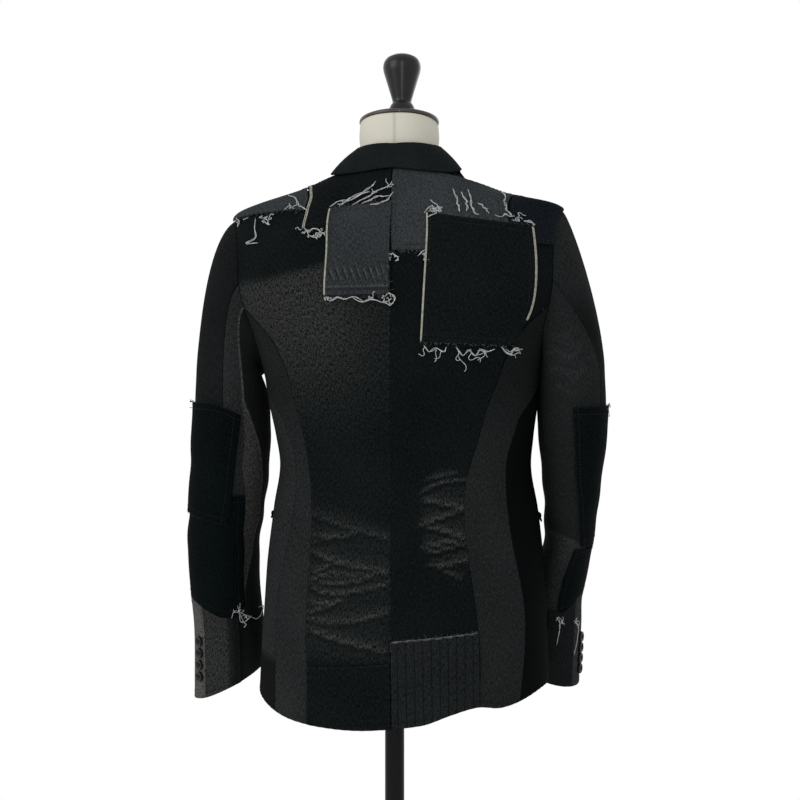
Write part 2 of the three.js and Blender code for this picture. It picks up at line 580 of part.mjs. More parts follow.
for (const [name, side] of SIDES) {
  const { turns, top, hem } = ELBOW[name];
  const elbowLift = (v) => (name === 'left'
    ? mix(OVERLAP_LIFT, SLEEVE_LIFT, step(0.25, 0.5, v)) : SLEEVE_LIFT);
  const belowBlock = (turn) => smooth(BLOCK_HEM[name], turn) - 1.8;
  const aboveCuff = (turn) => cuffHeight(name, turn) + 1;
  const pieces = {
    elbow_patch: { columns: 8, rows: 4, turns, low: (turn) => smooth(hem, turn),
      high: (turn) => smooth(top, turn),
      lift: elbowLift },
    lower_block: { columns: 8, rows: 4, turns: BLOCK[name].turns,
      low: (turn) => smooth(BLOCK_HEM[name], turn), high: () => BLOCK[name].top, lift: flat },
    vent_strip: { columns: 4, rows: 3, turns: [VENT[name].from, VENT[name].to, VENT[name].to],
      low: aboveCuff, high: belowBlock, lift: flat },
    cuff_block: { columns: 4, rows: 3, turns: [CUFF[name].from, CUFF[name].to, CUFF[name].to],
      low: aboveCuff, high: belowBlock, lift: flat },
  };
  const colours = { elbow_patch: COLOURS.black, lower_block: COLOURS.black,
    vent_strip: COLOURS.grey, cuff_block: name === 'left' ? COLOURS.faded : COLOURS.charcoal };
  for (const [piece, shape] of Object.entries(pieces)) {
    add(dressed, `${piece}_${name}`, sleevePatch(name, side, shape), colours[piece]);
  }
}

// ---- turned pieces: a profile of [radius, height] points about the vertical
function turned(profile, segments) {
  const points = profile.map(([radius, height]) => new THREE.Vector2(radius, height));
  const geometry = new THREE.LatheGeometry(points, segments).rotateX(Math.PI / 2);
  return geometry;
}

// ---- buttons, each a shallow dish lying on the cloth with its face along `normal`
function button(name, place, normal, radius, thickness) {
  const rim = 0.16 * radius;
  const profile = [[0, 0], [radius - rim, 0], [radius, thickness * 0.45], [radius - rim, thickness],
    [radius - 2.4 * rim, thickness * 0.8], [0, thickness * 0.8]];
  const mesh = add(dressed, name, turned(profile, 12), COLOURS.button);
  mesh.position.copy(place);
  mesh.quaternion.setFromUnitVectors(vec(0, 0, 1), normal.clone().normalize());
}
const CUFF_BUTTON = { radius: 7, thickness: 3 };
const BUTTON_ROW = { left: { turn: 50, lowest: 775, spacing: 16.5 },
  right: { turn: 24, lowest: 786, spacing: 15 } };
for (const [name, side] of SIDES) {
  for (let i = 0; i < 4; i += 1) {
    const row = BUTTON_ROW[name];
    const height = row.lowest + i * row.spacing;
    const lift = SLEEVE_LIFT + PATCH_WALL + 0.8;
    const at = onTube(name, side, row.turn, height, lift);
    const out = onTube(name, side, row.turn, height, lift + 5).sub(at);
    button(`cuff_button_${name}_${i + 1}`, at, out, CUFF_BUTTON.radius, CUFF_BUTTON.thickness);
  }
}
const FRONT_BUTTON = { radius: 11, thickness: 4, angle: 180, heights: [1035, 940] };
FRONT_BUTTON.heights.forEach((height, i) => {
  const lift = overLift(1, FRONT_BUTTON.angle, height) + 0.6;
  const at = onBody(FRONT_BUTTON.angle, height, lift);
  const out = onBody(FRONT_BUTTON.angle, height, lift + 5).sub(at);
  button(`front_button_${i + 1}`, at, out, FRONT_BUTTON.radius, FRONT_BUTTON.thickness);
});

// ---- the dress form: height against half width, back depth and front depth
const FORM = [[850, 148, 98, 92], [862, 158, 106, 100], [900, 165, 104, 106], [950, 164, 94, 103],
  [1010, 158, 83, 98], [1065, 150, 77, 95], [1120, 152, 81, 97], [1190, 159, 92, 103],
  [1250, 170, 100, 107], [1300, 176, 102, 103], [1342, 177, 95, 88], [1368, 174, 84, 76],
  [1382, 162, 75, 64], [1393, 136, 69, 58], [1405, 104, 64, 54], [1419, 74, 59, 49],
  [1436, 53, 54, 39], [1452, 50, 56, 38.5], [1470, 50, 58, 40], [1488, 51.5, 59.5, 41.5],
  [1504.5, 50.5, 59.5, 42]];
const FORM_SIDES = 28;
function formTorso() {
  const rings = FORM.map(([height, half, backDepth, frontDepth]) => (
    Array.from({ length: FORM_SIDES }, (_, i) => {
      const turn = (i / FORM_SIDES) * 2 * Math.PI;
      const s = Math.sin(turn);
      const c = Math.cos(turn);
      const r = (Math.abs(s / half) ** 2.2 + Math.abs(c / (c >= 0 ? backDepth : frontDepth)) ** 2.2)
        ** (-1 / 2.2);
      return vec(r * s + smooth(SWAY, height) * 0.6, r * c, height);
    })));
  const middle = (ring) => ring.reduce((sum, p) => sum.add(p), vec(0, 0, 0))
    .divideScalar(FORM_SIDES);
  const points = [...rings.flat(), middle(rings[0]), middle(rings[rings.length - 1])];
  const bottom = points.length - 2;
  const index = [];
  for (let i = 0; i < FORM_SIDES; i += 1) {
    const j = (i + 1) % FORM_SIDES;
    for (let k = 0; k < rings.length - 1; k += 1) {
      const [a, b] = [k * FORM_SIDES, (k + 1) * FORM_SIDES];
      index.push(a + i, b + i, a + j, a + j, b + i, b + j);
    }
    const top = (rings.length - 1) * FORM_SIDES;
    index.push(bottom, i, j, bottom + 1, top + j, top + i);
  }
  const geometry = new THREE.BufferGeometry().setFromPoints(points);
  geometry.setIndex(index);
  geometry.computeVertexNormals();
  return geometry;
}
add(dressed, 'form_torso', formTorso(), COLOURS.linen);
const NECK_CAP = [[0, 1505], [50.5, 1505], [51.6, 1507], [50.8, 1509.6], [47, 1511.4],
  [0, 1511.4]];
add(dressed, 'neck_cap', turned(NECK_CAP, 36), COLOURS.wood).position.y = 9;
const FINIAL = [[0, 1511.8], [18, 1511.8], [18, 1519], [17, 1524], [14.5, 1529.5], [12, 1532.5],
  [12.4, 1536], [16, 1548], [20, 1561], [23.4, 1572], [24.4, 1577.5], [23.8, 1583],
  [21, 1588], [14.5, 1591.8], [0, 1593.5]];
add(dressed, 'finial', turned(FINIAL, 24), COLOURS.gloss).position.set(-3.5, 9, 0);

// ---- the stand: a flange under the form, the pole, and a round base
const POLE_RADIUS = 12.5;
const FLANGE = [[0, 838.3], [22, 838.3], [23, 843], [46, 845], [46, 849.7], [0, 849.7]];
const POLE = [[0, 26.3], [POLE_RADIUS, 26.3], [POLE_RADIUS, 838], [0, 838]];
const BASE = [[0, 0], [170, 0], [172, 4], [166, 10], [110, 15], [40, 19], [24, 22], [18, 26],
  [0, 26]];
add(part, 'pole_flange', turned(FLANGE, 24), COLOURS.iron);
add(part, 'pole', turned(POLE, 20), COLOURS.iron);
add(part, 'base', turned(BASE, 40), COLOURS.iron);

export default part;
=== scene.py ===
"""A black patchwork denim jacket on a limbless dress form with its pole and base.

Shapes are worked out in millimetres from the form's centre line, with +Z up, the jacket's back
towards +Y and the wearer's left towards +X, and are put into the meshes in metres.
"""

import json
import math

import bpy
import numpy as np
from bpy.props import FloatProperty, FloatVectorProperty, IntProperty, PointerProperty
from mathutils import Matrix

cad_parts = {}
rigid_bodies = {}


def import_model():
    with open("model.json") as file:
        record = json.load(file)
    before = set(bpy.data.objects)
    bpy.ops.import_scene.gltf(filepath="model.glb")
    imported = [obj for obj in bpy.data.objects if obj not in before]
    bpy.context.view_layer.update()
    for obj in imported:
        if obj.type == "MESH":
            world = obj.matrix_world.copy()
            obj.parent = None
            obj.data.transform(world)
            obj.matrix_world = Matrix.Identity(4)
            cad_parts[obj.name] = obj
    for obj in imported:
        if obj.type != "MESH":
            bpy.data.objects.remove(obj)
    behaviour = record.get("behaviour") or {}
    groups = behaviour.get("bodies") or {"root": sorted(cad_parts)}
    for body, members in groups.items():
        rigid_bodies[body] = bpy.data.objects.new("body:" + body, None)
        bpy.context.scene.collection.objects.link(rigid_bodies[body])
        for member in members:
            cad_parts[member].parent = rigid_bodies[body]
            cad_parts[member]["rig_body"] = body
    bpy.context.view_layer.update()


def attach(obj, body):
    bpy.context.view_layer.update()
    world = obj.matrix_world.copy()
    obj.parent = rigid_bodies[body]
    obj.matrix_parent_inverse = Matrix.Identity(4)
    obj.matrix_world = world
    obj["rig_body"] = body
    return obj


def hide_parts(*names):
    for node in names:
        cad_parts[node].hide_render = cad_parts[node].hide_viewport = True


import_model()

bl_info = {
    "name": "Patchwork Jacket",
    "version": (1, 0, 0),
    "blender": (4, 5, 0),
    "location": "3D View > Sidebar > Jacket",
    "description": "Cloth, threads, dress form and studio of a patchwork denim jacket",
    "category": "Add Mesh",
}

FORM_SHIFT = -7.0  # the form's centre line, measured from the pole
SIDES = {"left": 1, "right": -1}

# ---- the jacket's surface, as the solids have it: (height, value) in millimetres
ROUNDNESS = 2.3
HALF_WIDTH = [(770, 186), (830, 184), (890, 181), (950, 178), (1010, 171), (1065, 163),
              (1105, 166.5), (1140, 173), (1190, 179.5), (1230, 192), (1269, 210), (1300, 217),
              (1350, 215), (1385, 211), (1397, 210), (1407, 185), (1423, 130), (1440, 88),
              (1455, 64)]
BACK_DEPTH = [(770, 134), (830, 126), (890, 116), (950, 104), (1010, 93), (1065, 87), (1120, 92),
              (1180, 103), (1240, 111), (1300, 113), (1350, 106), (1385, 94), (1400, 87),
              (1425, 74), (1440, 64), (1455, 56)]
FRONT_DEPTH = [(770, 128), (830, 124), (890, 119), (950, 114), (1010, 109), (1065, 106),
               (1120, 108), (1180, 114), (1240, 118), (1300, 114), (1350, 98), (1385, 80),
               (1400, 71), (1425, 60), (1440, 54), (1455, 48)]
SWAY = [(770, -5), (900, -6), (1065, -6), (1200, -1), (1300, 3), (1400, 4), (1455, 1)]
SHOULDER_DROP = {
    "left": [(1300, 0), (1360, 3), (1385, 7), (1397, 9.5), (1415, 10.5), (1440, 10), (1455, 9)],
    "right": [(1300, 0), (1360, 1), (1385, 4), (1397, 7), (1407, 12), (1415, 14), (1425, 12.5),
              (1440, 8.5), (1455, 8)],
}
HEM = [(-180, 772), (-130, 788), (-75, 800), (-50, 791), (-40, 794), (-28, 787), (-14, 776),
       (16, 768), (45, 768), (80, 780), (130, 784), (180, 772)]
LEVELS = [830, 880, 930, 980, 1030, 1065, 1100, 1140]
ARM_LEVELS = [1295, 1325, 1355, 1380, 1397]
CHEST_LEVELS = [1228, 1265] + ARM_LEVELS
SHOULDER_ROWS = [1403, 1411, 1423, 1440, 1455]
NECK_ROWS = [1403, 1411, 1420, 1430, 1440]
ARM_TOP, ARM_BOTTOM, ARM_MIDDLE, ARM_BACK, ARM_FRONT = 1397, 1191, -4, 62, 58
SEAM_MEETS = 1265
BACK_SEAM = {
    "left": [(765, 40), (820, 43), (858, 46), (980, 52), (1035, 56), (1070, 58.5), (1140, 60),
             (1175, 60), (1200, 61.5), (1225, 64), (1265, 73)],
    "right": [(765, 40), (820, 41.5), (880, 43), (985, 42.5), (1024, 43.5), (1048, 45.5),
              (1076, 49), (1104, 52), (1143, 54.5), (1175, 57.5), (1200, 59.5), (1225, 62),
              (1265, 73)],
}
CENTRE_SEAM = [(765, 0), (915, 3), (1090, 5), (1232, 0), (1314, -2), (1389, -3), (1431, -1),
               (1455, -1)]
FRONT_SEAM = [(765, 58.5), (820, 61), (894, 65), (976, 63.5), (1023, 64), (1055, 65.2),
              (1082, 66.5), (1107, 68.5), (1135, 71.5), (1191, 91.3)]
OVERLAP = 18
CORNER_TOP, CORNER_HEIGHT, CORNER_WIDTH = 850, 82, 70
ROLL_BOTTOM, ROLL_TOP, ROLL_REACH = 1095, 1440, 68
OVER_LIFT = [(770, 3.8), (1050, 3.8), (1105, 7.4), (1190, 7.4), (1260, 0)]
NECK_DROP = 14
SLEEVE = {
    "left": {
        "x": [(755, 243), (838, 241), (902, 243), (966, 240), (1030, 229), (1094, 225), (1190, 223)],
        "y": [(755, -60), (838, -50), (902, -38), (966, -24), (1030, -12), (1094, -6), (1190, -3)],
        "half": [(755, 47), (838, 46), (902, 45), (966, 46), (1030, 47.5), (1094, 49.5), (1190, 46)],
        "deep": [(755, 42), (838, 44), (902, 50), (966, 54), (1030, 57), (1094, 60), (1190, 62)],
        "end": 763,
        "tilt": 24,
    },
    "right": {
        "x": [(755, 199), (850, 203), (883, 205), (913, 210), (944, 215), (975, 219), (1036, 220),
              (1127, 220), (1190, 219)],
        "y": [(755, -104), (850, -87), (883, -80), (913, -70), (944, -57), (975, -45),
              (1036, -25), (1127, -8), (1190, -3)],
        "half": [(755, 36), (850, 34), (883, 32), (913, 32), (944, 31), (975, 30.5), (1036, 34.8),
                 (1127, 43), (1190, 42)],
        "deep": [(755, 47), (850, 50), (913, 54), (975, 58), (1036, 60), (1127, 62), (1190, 62)],
        "end": 772,
        "tilt": 10,
    },
}
BICEPS, BICEPS_TILT = 1165, 25
HEAD_ROWS, TUBE_ROWS = 5, 10
HEAD_PUFF = {"left": 0.55, "right": 0.15}
HIND_SEAM = {"left": [(0, 96), (1, 97)], "right": [(0, 42), (0.3, 45), (1, 60)]}
FORE_TURN = -72
SEAM_TURN_GAP = 0.18
HEAD_SPLIT = 1295
WALL, PATCH_WALL = 2.0, 1.4
PATCH_LIFT, SECOND_LIFT, RIDGE_LIFT = 1.2, 3.4, 1.6
SLEEVE_LIFT, SLEEVE_OVERLAP = 2.0, 5.2
SEAM_GAP = 0.3
BODY_DEGREE, SLEEVE_DEGREE = 2.1, 0.82  # millimetres taken for a degree where threads are laid
STITCH, STITCH_RADIUS = 2.4, 0.3
BODY_CORE_TOP, COLLAR_CORE_TOP, SLEEVE_CORE_TOP = 1395, 1380, 1300  # walls grow away from these


# ---- numbers
def mix(a, b, t):
    """From a to b by the share t."""
    return a + (b - a) * t


def step(low, high, at):
    """0 below low, 1 above high, and the cubic 3t^2 - 2t^3 between."""
    t = np.clip((np.asarray(at, float) - low) / (high - low), 0, 1)
    return t * t * (3 - 2 * t)


def hump(middle, reach, at):
    """A bell of height 1: e to the minus square of the distance from middle over reach."""
    return np.exp(-(((np.asarray(at, float) - middle) / reach) ** 2))


def curve(knots, at):
    """Cubic through (position, value) knots; each knot's slope is that between its neighbours."""
    x, y = np.asarray(knots, float).T
    slope = np.concatenate([[(y[1] - y[0]) / (x[1] - x[0])], (y[2:] - y[:-2]) / (x[2:] - x[:-2]),
                            [(y[-1] - y[-2]) / (x[-1] - x[-2])]])
    at = np.clip(at, x[0], x[-1])
    i = np.clip(np.searchsorted(x, at, side="right") - 1, 0, len(x) - 2)
    h = x[i + 1] - x[i]
    t = (at - x[i]) / h
    w = 1 - t
    return ((1 + 2 * t) * w * w * y[i] + t * w * w * h * slope[i]
            + t * t * (3 - 2 * t) * y[i + 1] - t * t * w * h * slope[i + 1])


def along(values, share, first=None):
    """Reads a list at a share of its length, in straight lines; `first` stands for its start."""
    at = share * (len(values) - 1)
    value = np.interp(at, np.arange(len(values)), values)
    return value if first is None else np.where(at < 1, mix(first, values[1], at), value)


def unit(v):
    """Vectors shortened to length 1."""
    return v / np.maximum(np.linalg.norm(v, axis=-1, keepdims=True), 1e-9)


def grid(columns, rows):
    """Shares u across and v up, as two (rows + 1, columns + 1) arrays."""
    return np.meshgrid(np.linspace(0, 1, columns + 1), np.linspace(0, 1, rows + 1))


# ---- the surface of the body: an angle round from the centre back, and a height
def body_point(angle, height):
    """Superellipse with exponent ROUNDNESS of the half width and depth at each height, let down at
    the shoulders by the drop times the sine of the angle to the power 1.4."""
    s, c = np.sin(np.radians(angle)), np.cos(np.radians(angle))
    depth = np.where(c >= 0, curve(BACK_DEPTH, height), curve(FRONT_DEPTH, height))
    r = (np.abs(s / curve(HALF_WIDTH, height)) ** ROUNDNESS
         + np.abs(c / depth) ** ROUNDNESS) ** (-1 / ROUNDNESS)
    drop = mix(curve(SHOULDER_DROP["right"], height), curve(SHOULDER_DROP["left"], height),
               0.5 + 0.5 * s)
    return np.stack([r * s + curve(SWAY, height), r * c,
                     height - drop * np.abs(s) ** 1.4], -1)


def on_body(angle, height, lift=0.0):
    """Point of the body moved out by lift along the cross product of its two tangents."""
    angle, height = np.broadcast_arrays(np.asarray(angle, float), np.asarray(height, float))
    around = body_point(angle + 0.5, height) - body_point(angle - 0.5, height)
    upward = body_point(angle, height + 0.5) - body_point(angle, height - 0.5)
    return body_point(angle, height) + unit(np.cross(upward, around)) * np.asarray(lift)[..., None]


def angle_at_depth(y, height):
    """Angle where the section at a height lies y behind the centre."""
    depth = np.where(y >= 0, curve(BACK_DEPTH, height), curve(FRONT_DEPTH, height))
    share = np.clip(np.abs(y) / depth, 0, 0.999)
    x = curve(HALF_WIDTH, height) * (1 - share ** ROUNDNESS) ** (1 / ROUNDNESS)
    return np.degrees(np.arctan2(x, y))


def angle_at_width(x, height):
    """Angle where the front lies x to the side of the centre front."""
    share = np.clip(np.abs(x) / curve(HALF_WIDTH, height), 0, 0.999)
    y = curve(FRONT_DEPTH, height) * (1 - share ** ROUNDNESS) ** (1 / ROUNDNESS)
    return 180 - np.degrees(np.arctan2(x, y))


def armhole(turn):
    """Oval seen from the side: depth by the sine of the turn, height by its cosine."""
    s, c = np.sin(np.radians(turn)), np.cos(np.radians(turn))
    return (ARM_MIDDLE + np.where(s >= 0, ARM_BACK, ARM_FRONT) * s,
            mix(ARM_BOTTOM, ARM_TOP, 0.5 + 0.5 * c))


def armhole_turn(height):
    """Turn of the armhole's oval at a height."""
    share = (np.asarray(height, float) - ARM_BOTTOM) / (ARM_TOP - ARM_BOTTOM)
    return np.degrees(np.arccos(np.clip(2 * share - 1, -1, 1)))


def armhole_angle(turn):
    """Angle round the body of a point of the armhole."""
    return angle_at_depth(*armhole(turn))


def half_gap(radius):
    """Half a seam's gap, as an angle at that radius."""
    return math.degrees(SEAM_GAP / 2 / radius)


def back_edge(name, height):
    """Outer edge of a back panel: the back seam, then the armhole, then the shoulder."""
    arm = armhole_angle(armhole_turn(height))
    return np.where(height <= SEAM_MEETS, curve(BACK_SEAM[name], height),
                    np.where(height >= ARM_TOP, 90.0, arm))


def front_rear_edge(height):
    """Rear edge of a front panel: the side seam, then the armhole, then the shoulder."""
    arm = armhole_angle(-armhole_turn(height))
    return np.where(height <= ARM_BOTTOM, curve(FRONT_SEAM, height),
                    np.where(height >= ARM_TOP, 90.0, arm))


def rise(top):
    """Three levels from the last shared one up to top."""
    return [mix(LEVELS[-1], top, k / 3) for k in (1, 2, 3)]


def back_chart(name, side, u, v):
    """Angle and height over a back panel: rows level at first, tipping to the shoulder."""
    trunk = [765, *LEVELS, *rise(SEAM_MEETS), *ARM_LEVELS]
    outer_rows, centre_rows = trunk + SHOULDER_ROWS, trunk + NECK_ROWS
    rear = side * curve(CENTRE_SEAM, along(centre_rows, v)) + half_gap(100)
    angle = mix(rear, back_edge(name, along(outer_rows, v)) - half_gap(130), u)
    bottom = curve(HEM, side * angle)
    return side * angle, mix(along(centre_rows, v, bottom), along(outer_rows, v, bottom),
                             np.sin(np.radians(angle)) ** 2)


def side_chart(name, side, u, v):
    """Angle and height over a side panel, whose top follows the armhole's lower back quarter."""
    back_rows, front_rows = ([765, *LEVELS, *rise(top)] for top in (SEAM_MEETS, ARM_BOTTOM))
    level_share = len(LEVELS) / (len(back_rows) - 1)
    share = np.clip((v - level_share) / (1 - level_share), 0, 1)
    rear = curve(BACK_SEAM[name], along(back_rows, v)) + half_gap(150)
    fore = curve(FRONT_SEAM, along(front_rows, v)) - half_gap(170)
    turn = mix(armhole_turn(SEAM_MEETS), 180.0, u)
    at_top = np.clip((armhole_angle(turn) - 73) / (armhole_angle(180.0) - 73), 0, 1)
    angle = mix(rear, fore, mix(u, at_top, share))
    lower = along([765, *LEVELS], np.clip(v / level_share, 0, 1), curve(HEM, side * angle))
    return side * angle, np.where(share > 0, mix(LEVELS[-1], armhole(turn)[1], share), lower)


def over_lift(side, angle, height):
    """How far the left front stands off to lie over the right one."""
    if side < 0:
        return 0.0 * angle
    return curve(OVER_LIFT, height) * (1 - step(11, 30, 180 - np.abs(angle)))


def front_edge_width(height):
    """Front edge from the centre: rounded corner below, overlap, and the lapel's roll above."""
    t = np.clip((CORNER_TOP - height) / CORNER_HEIGHT, 0, 1)
    roll = ROLL_REACH * np.maximum((height - ROLL_BOTTOM) / (ROLL_TOP - ROLL_BOTTOM), 0)
    return CORNER_WIDTH * (1 - np.sqrt(1 - t * t)) + roll - OVERLAP


def front_chart(side, u, v):
    """Angle and height over a front panel, from the side seam to the front edge."""
    rows = [775, *LEVELS, *rise(ARM_BOTTOM), *CHEST_LEVELS, *SHOULDER_ROWS]
    level = along(rows, v)
    angle = mix(front_rear_edge(along([765, *rows[1:]], v)) + half_gap(150),
                angle_at_width(front_edge_width(level), level), u)
    drop = NECK_DROP * u * step(1 - 2.5 / len(rows), 1, v)
    return side * angle, along(rows, v, curve(HEM, side * angle)) - drop


# ---- the surface of a sleeve: a turn round it and a height
def on_tube(name, turn, height, lift=0.0):
    """Ellipse of the sleeve's half width and depth at a height, both widened by lift."""
    ring = SLEEVE[name]
    c, s = np.cos(np.radians(turn)), np.sin(np.radians(turn))
    x = curve(ring["x"], height) + (curve(ring["half"], height) + lift) * c
    y = curve(ring["y"], height) + (curve(ring["deep"], height) + lift) * s
    return np.stack([SIDES[name] * x, y, height + 0 * x], -1)


def on_head(name, arm_turn, tube_turn, share):
    """Cubic from the armhole, leaving it outwards, to the biceps ring, which it meets downwards."""
    side = SIDES[name]
    start = on_body(side * np.abs(armhole_angle(arm_turn)), armhole(arm_turn)[1])
    c, s = np.cos(np.radians(arm_turn)), np.sin(np.radians(arm_turn))
    out = unit(np.stack([side * (0.62 + 0.25 * c), 0.28 * s, -0.68 + 0.24 * c], -1))
    start = start + out * 0.4
    ring = BICEPS + BICEPS_TILT * np.cos(np.radians(tube_turn))
    end = on_tube(name, tube_turn, ring)
    down = unit(on_tube(name, tube_turn, ring - 1) - end)
    reach = np.linalg.norm(end - start, axis=-1, keepdims=True)
    t = share[..., None]
    w = 1 - t
    return ((1 + 2 * t) * w * w * start + t * w * w * reach * HEAD_PUFF[name] * out
            + t * t * (3 - 2 * t) * end - t * t * w * reach * 1.05 * down)


def cuff_height(name, turn):
    """The sleeve's lower edge, tilted down towards the outside."""
    return SLEEVE[name]["end"] - SLEEVE[name]["tilt"] * np.cos(np.radians(turn - 15))


def sleeve_folds(turn, height):
    """Soft creases at the elbow: sines of a slanting height, strongest at the bend inside."""
    bend = hump(1000, 60, height) * (0.35 + 0.65 * np.sin(np.radians(turn / 2 + 10)) ** 2)
    drag = hump(1105, 55, height) * 0.5
    return 1.3 * bend * np.sin(height / 9 + turn / 40) + drag * np.sin(height / 13 - turn / 25)


def body_folds(angle, height):
    """Shallow drag lines at the waist and long ripples in the skirt, as sines of angle and height."""
    waist = hump(1075, 70, height) * np.sin(height / 15 + np.abs(angle) / 9)
    skirt = (1 - step(860, 980, height)) * np.sin(angle / 5.5 + height / 160)
    return 0.45 * waist + 0.6 * skirt


# ---- meshes
def new_mesh(name, points, faces, material, flat_faces=None, uv=None, values=None):
    """Puts (n, 3) points in millimetres and (m, k) faces into a mesh piece that rides on the row."""
    count, corners = faces.shape
    mesh = bpy.data.meshes.new(name)
    mesh.vertices.add(len(points))
    shifted = (points + np.array([FORM_SHIFT, 0, 0])) / 1000
    mesh.vertices.foreach_set("co", shifted.astype(np.float32).ravel())
    mesh.loops.add(count * corners)
    mesh.loops.foreach_set("vertex_index", faces.astype(np.int32).ravel())
    mesh.polygons.add(count)
    mesh.polygons.foreach_set("loop_start", np.arange(count, dtype=np.int32) * corners)
    smooth = np.ones(count, bool) if flat_faces is None else ~flat_faces
    mesh.polygons.foreach_set("use_smooth", smooth)
    if uv is not None:
        layer = mesh.uv_layers.new(name="cut")
        layer.data.foreach_set("uv", uv[faces.ravel()].astype(np.float32).ravel())
    for key, value in (values or {}).items():
        attribute = mesh.attributes.new(key, "FLOAT", "POINT")
        attribute.data.foreach_set("value", value.astype(np.float32).ravel())
    mesh.update(calc_edges=True)
    mesh.validate()
    mesh.materials.append(material)
    piece = bpy.data.objects.new(name, mesh)
    bpy.context.scene.collection.objects.link(piece)
    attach(piece, "root")
    return piece


def grid_faces(wide, high, start=0, closed=False):
    """Quads over a grid of wide by high points; closed joins its last column to its first."""
    i, j = np.meshgrid(np.arange(wide if closed else wide - 1), np.arange(high - 1))
    i, j = i.ravel(), j.ravel()
    k = (i + 1) % wide
    return start + np.stack([j * wide + i, j * wide + k, (j + 1) * wide + k, (j + 1) * wide + i], -1)


def outward(points, faces):
    """Turns the faces over if the volume they enclose, a sum of triple products, is negative."""
    a, b, c, d = (points[faces[:, k]] for k in range(4))
    volume = (np.cross(a, b) * c).sum() + (np.cross(a, c) * d).sum()
    return faces if volume > 0 else faces[:, ::-1]


def arcs(points):
    """Length along the rows from their middle and mean length up the columns, in millimetres."""
    across = np.linalg.norm(np.diff(points, axis=1), axis=-1).cumsum(1)
    across = np.concatenate([0 * across[:, :1], across], 1)
    upward = np.linalg.norm(np.diff(points, axis=0), axis=-1).cumsum(0)
    upward = np.concatenate([0 * upward[:1], upward], 0)
    return across - across[:, -1:] / 2, upward


def edge_distance(across, upward):
    """Distance to the nearest edge of the piece, in millimetres."""
    return np.minimum.reduce([across - across[:, :1], across[:, -1:] - across, upward,
                              upward[-1:] - upward])


def cloth(name, points, wall, material, core, fade=None):
    """Closed wall of cloth: a grid of outer points, the same moved in by wall, and four edges."""
    high, wide = points.shape[:2]
    across, upward = arcs(points)
    normal = unit(np.cross(np.gradient(points, axis=1), np.gradient(points, axis=0)))
    away = ((points - core(points)) * normal).sum(-1)
    normal *= np.sign(away.sum())
    inner = points - normal * wall
    far = wide * high
    at = np.arange(far).reshape(high, wide)
    rim = [np.stack([line[:-1], line[1:], line[1:] + far, line[:-1] + far], -1)
           for line in (at[0], at[:, -1], at[-1, ::-1], at[::-1, 0])]
    sheet = grid_faces(wide, high)
    faces = np.concatenate([sheet, sheet[:, ::-1] + far])
    edges = np.concatenate(rim)[:, ::-1]
    everything = np.concatenate([faces, edges])
    vertices = np.concatenate([points.reshape(-1, 3), inner.reshape(-1, 3)])
    flat_faces = np.arange(len(everything)) >= len(faces)
    everything = outward(vertices, everything)
    uv = np.stack([across.ravel(), upward.ravel()], -1) / 1000
    edge = edge_distance(across, upward).ravel() / 1000
    # per-point wash and painted shade, read by the denim finish
    fade = np.zeros(far) if fade is None else fade.ravel()
    values = {"edge": np.concatenate([edge, edge]), "fade": np.concatenate([fade, fade])}
    piece = new_mesh(name, vertices, everything, material, flat_faces, np.concatenate([uv, uv]), values)
    sides = np.stack([points[:-1, :-1], points[:-1, 1:], points[1:, 1:], points[1:, :-1]])
    area = 0.5 * np.linalg.norm(np.cross(sides[2] - sides[0], sides[3] - sides[1]), axis=-1).sum()
    piece["cut"] = [float(np.ptp(across, axis=1).max()) / 1000, float(upward[-1].max()) / 1000,
                    float(area) / 1e6]
    return piece


def pucker(across, upward, edge, height, depth):
    """Ripples that a row of stitches draws up: a sine along the edge that dies away from it."""
    return depth * np.exp(-((edge / 5) ** 2)) * (0.5 + 0.5 * np.sin(upward / height + across / height))


def body_core(top):
    """Gives the point of the body's axis at each point's height, no higher than top."""
    return lambda p: np.stack([0 * p[..., 0], 0 * p[..., 0], np.minimum(p[..., 2], top)], -1)


def body_cloth(name, chart, columns, rows, lift, wall, material, fade=None, curl=0.3, over=None):
    """Cloth that lies on the body over chart(u, v), with folds, puckered edges and lift."""
    angle, height = chart(*grid(columns, rows))
    across, upward = arcs(on_body(angle, height))
    edge = edge_distance(across, upward)
    raised = lift + body_folds(angle, height) + pucker(across, upward, edge, 1.7, curl)
    if over is not None:
        raised = raised + over(angle, height)
    points = on_body(angle, height, raised)
    shade = None if fade is None else fade(angle, height)
    return cloth(name, points, wall, material, body_core(BODY_CORE_TOP), shade)


def sleeve_core(name):
    """Gives the middle of the sleeve at each point's height."""
    ring = SLEEVE[name]
    return lambda p: np.stack([SIDES[name] * curve(ring["x"], p[..., 2]), curve(ring["y"], p[..., 2]),
                               np.minimum(p[..., 2], SLEEVE_CORE_TOP)], -1)


def sleeve_cloth(name, side_name, chart, columns, rows, lift, material, fade=None, curl=0.3):
    """Cloth that lies on a sleeve below its head over chart(u, v), which gives turn and height."""
    turn, height = chart(*grid(columns, rows))
    up_share = grid(columns, rows)[1]
    across, upward = arcs(on_tube(side_name, turn, height))
    edge = edge_distance(across, upward)
    raised = (lift(up_share) + sleeve_folds(turn, height)
              + pucker(across, upward, edge, 1.6, curl))
    shade = None if fade is None else fade(turn, height)
    return cloth(name, on_tube(side_name, turn, height, raised), PATCH_WALL, material,
                 sleeve_core(side_name), shade)


def declare(node):
    """Hides the node's solid, which a new piece has replaced."""
    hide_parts(node)


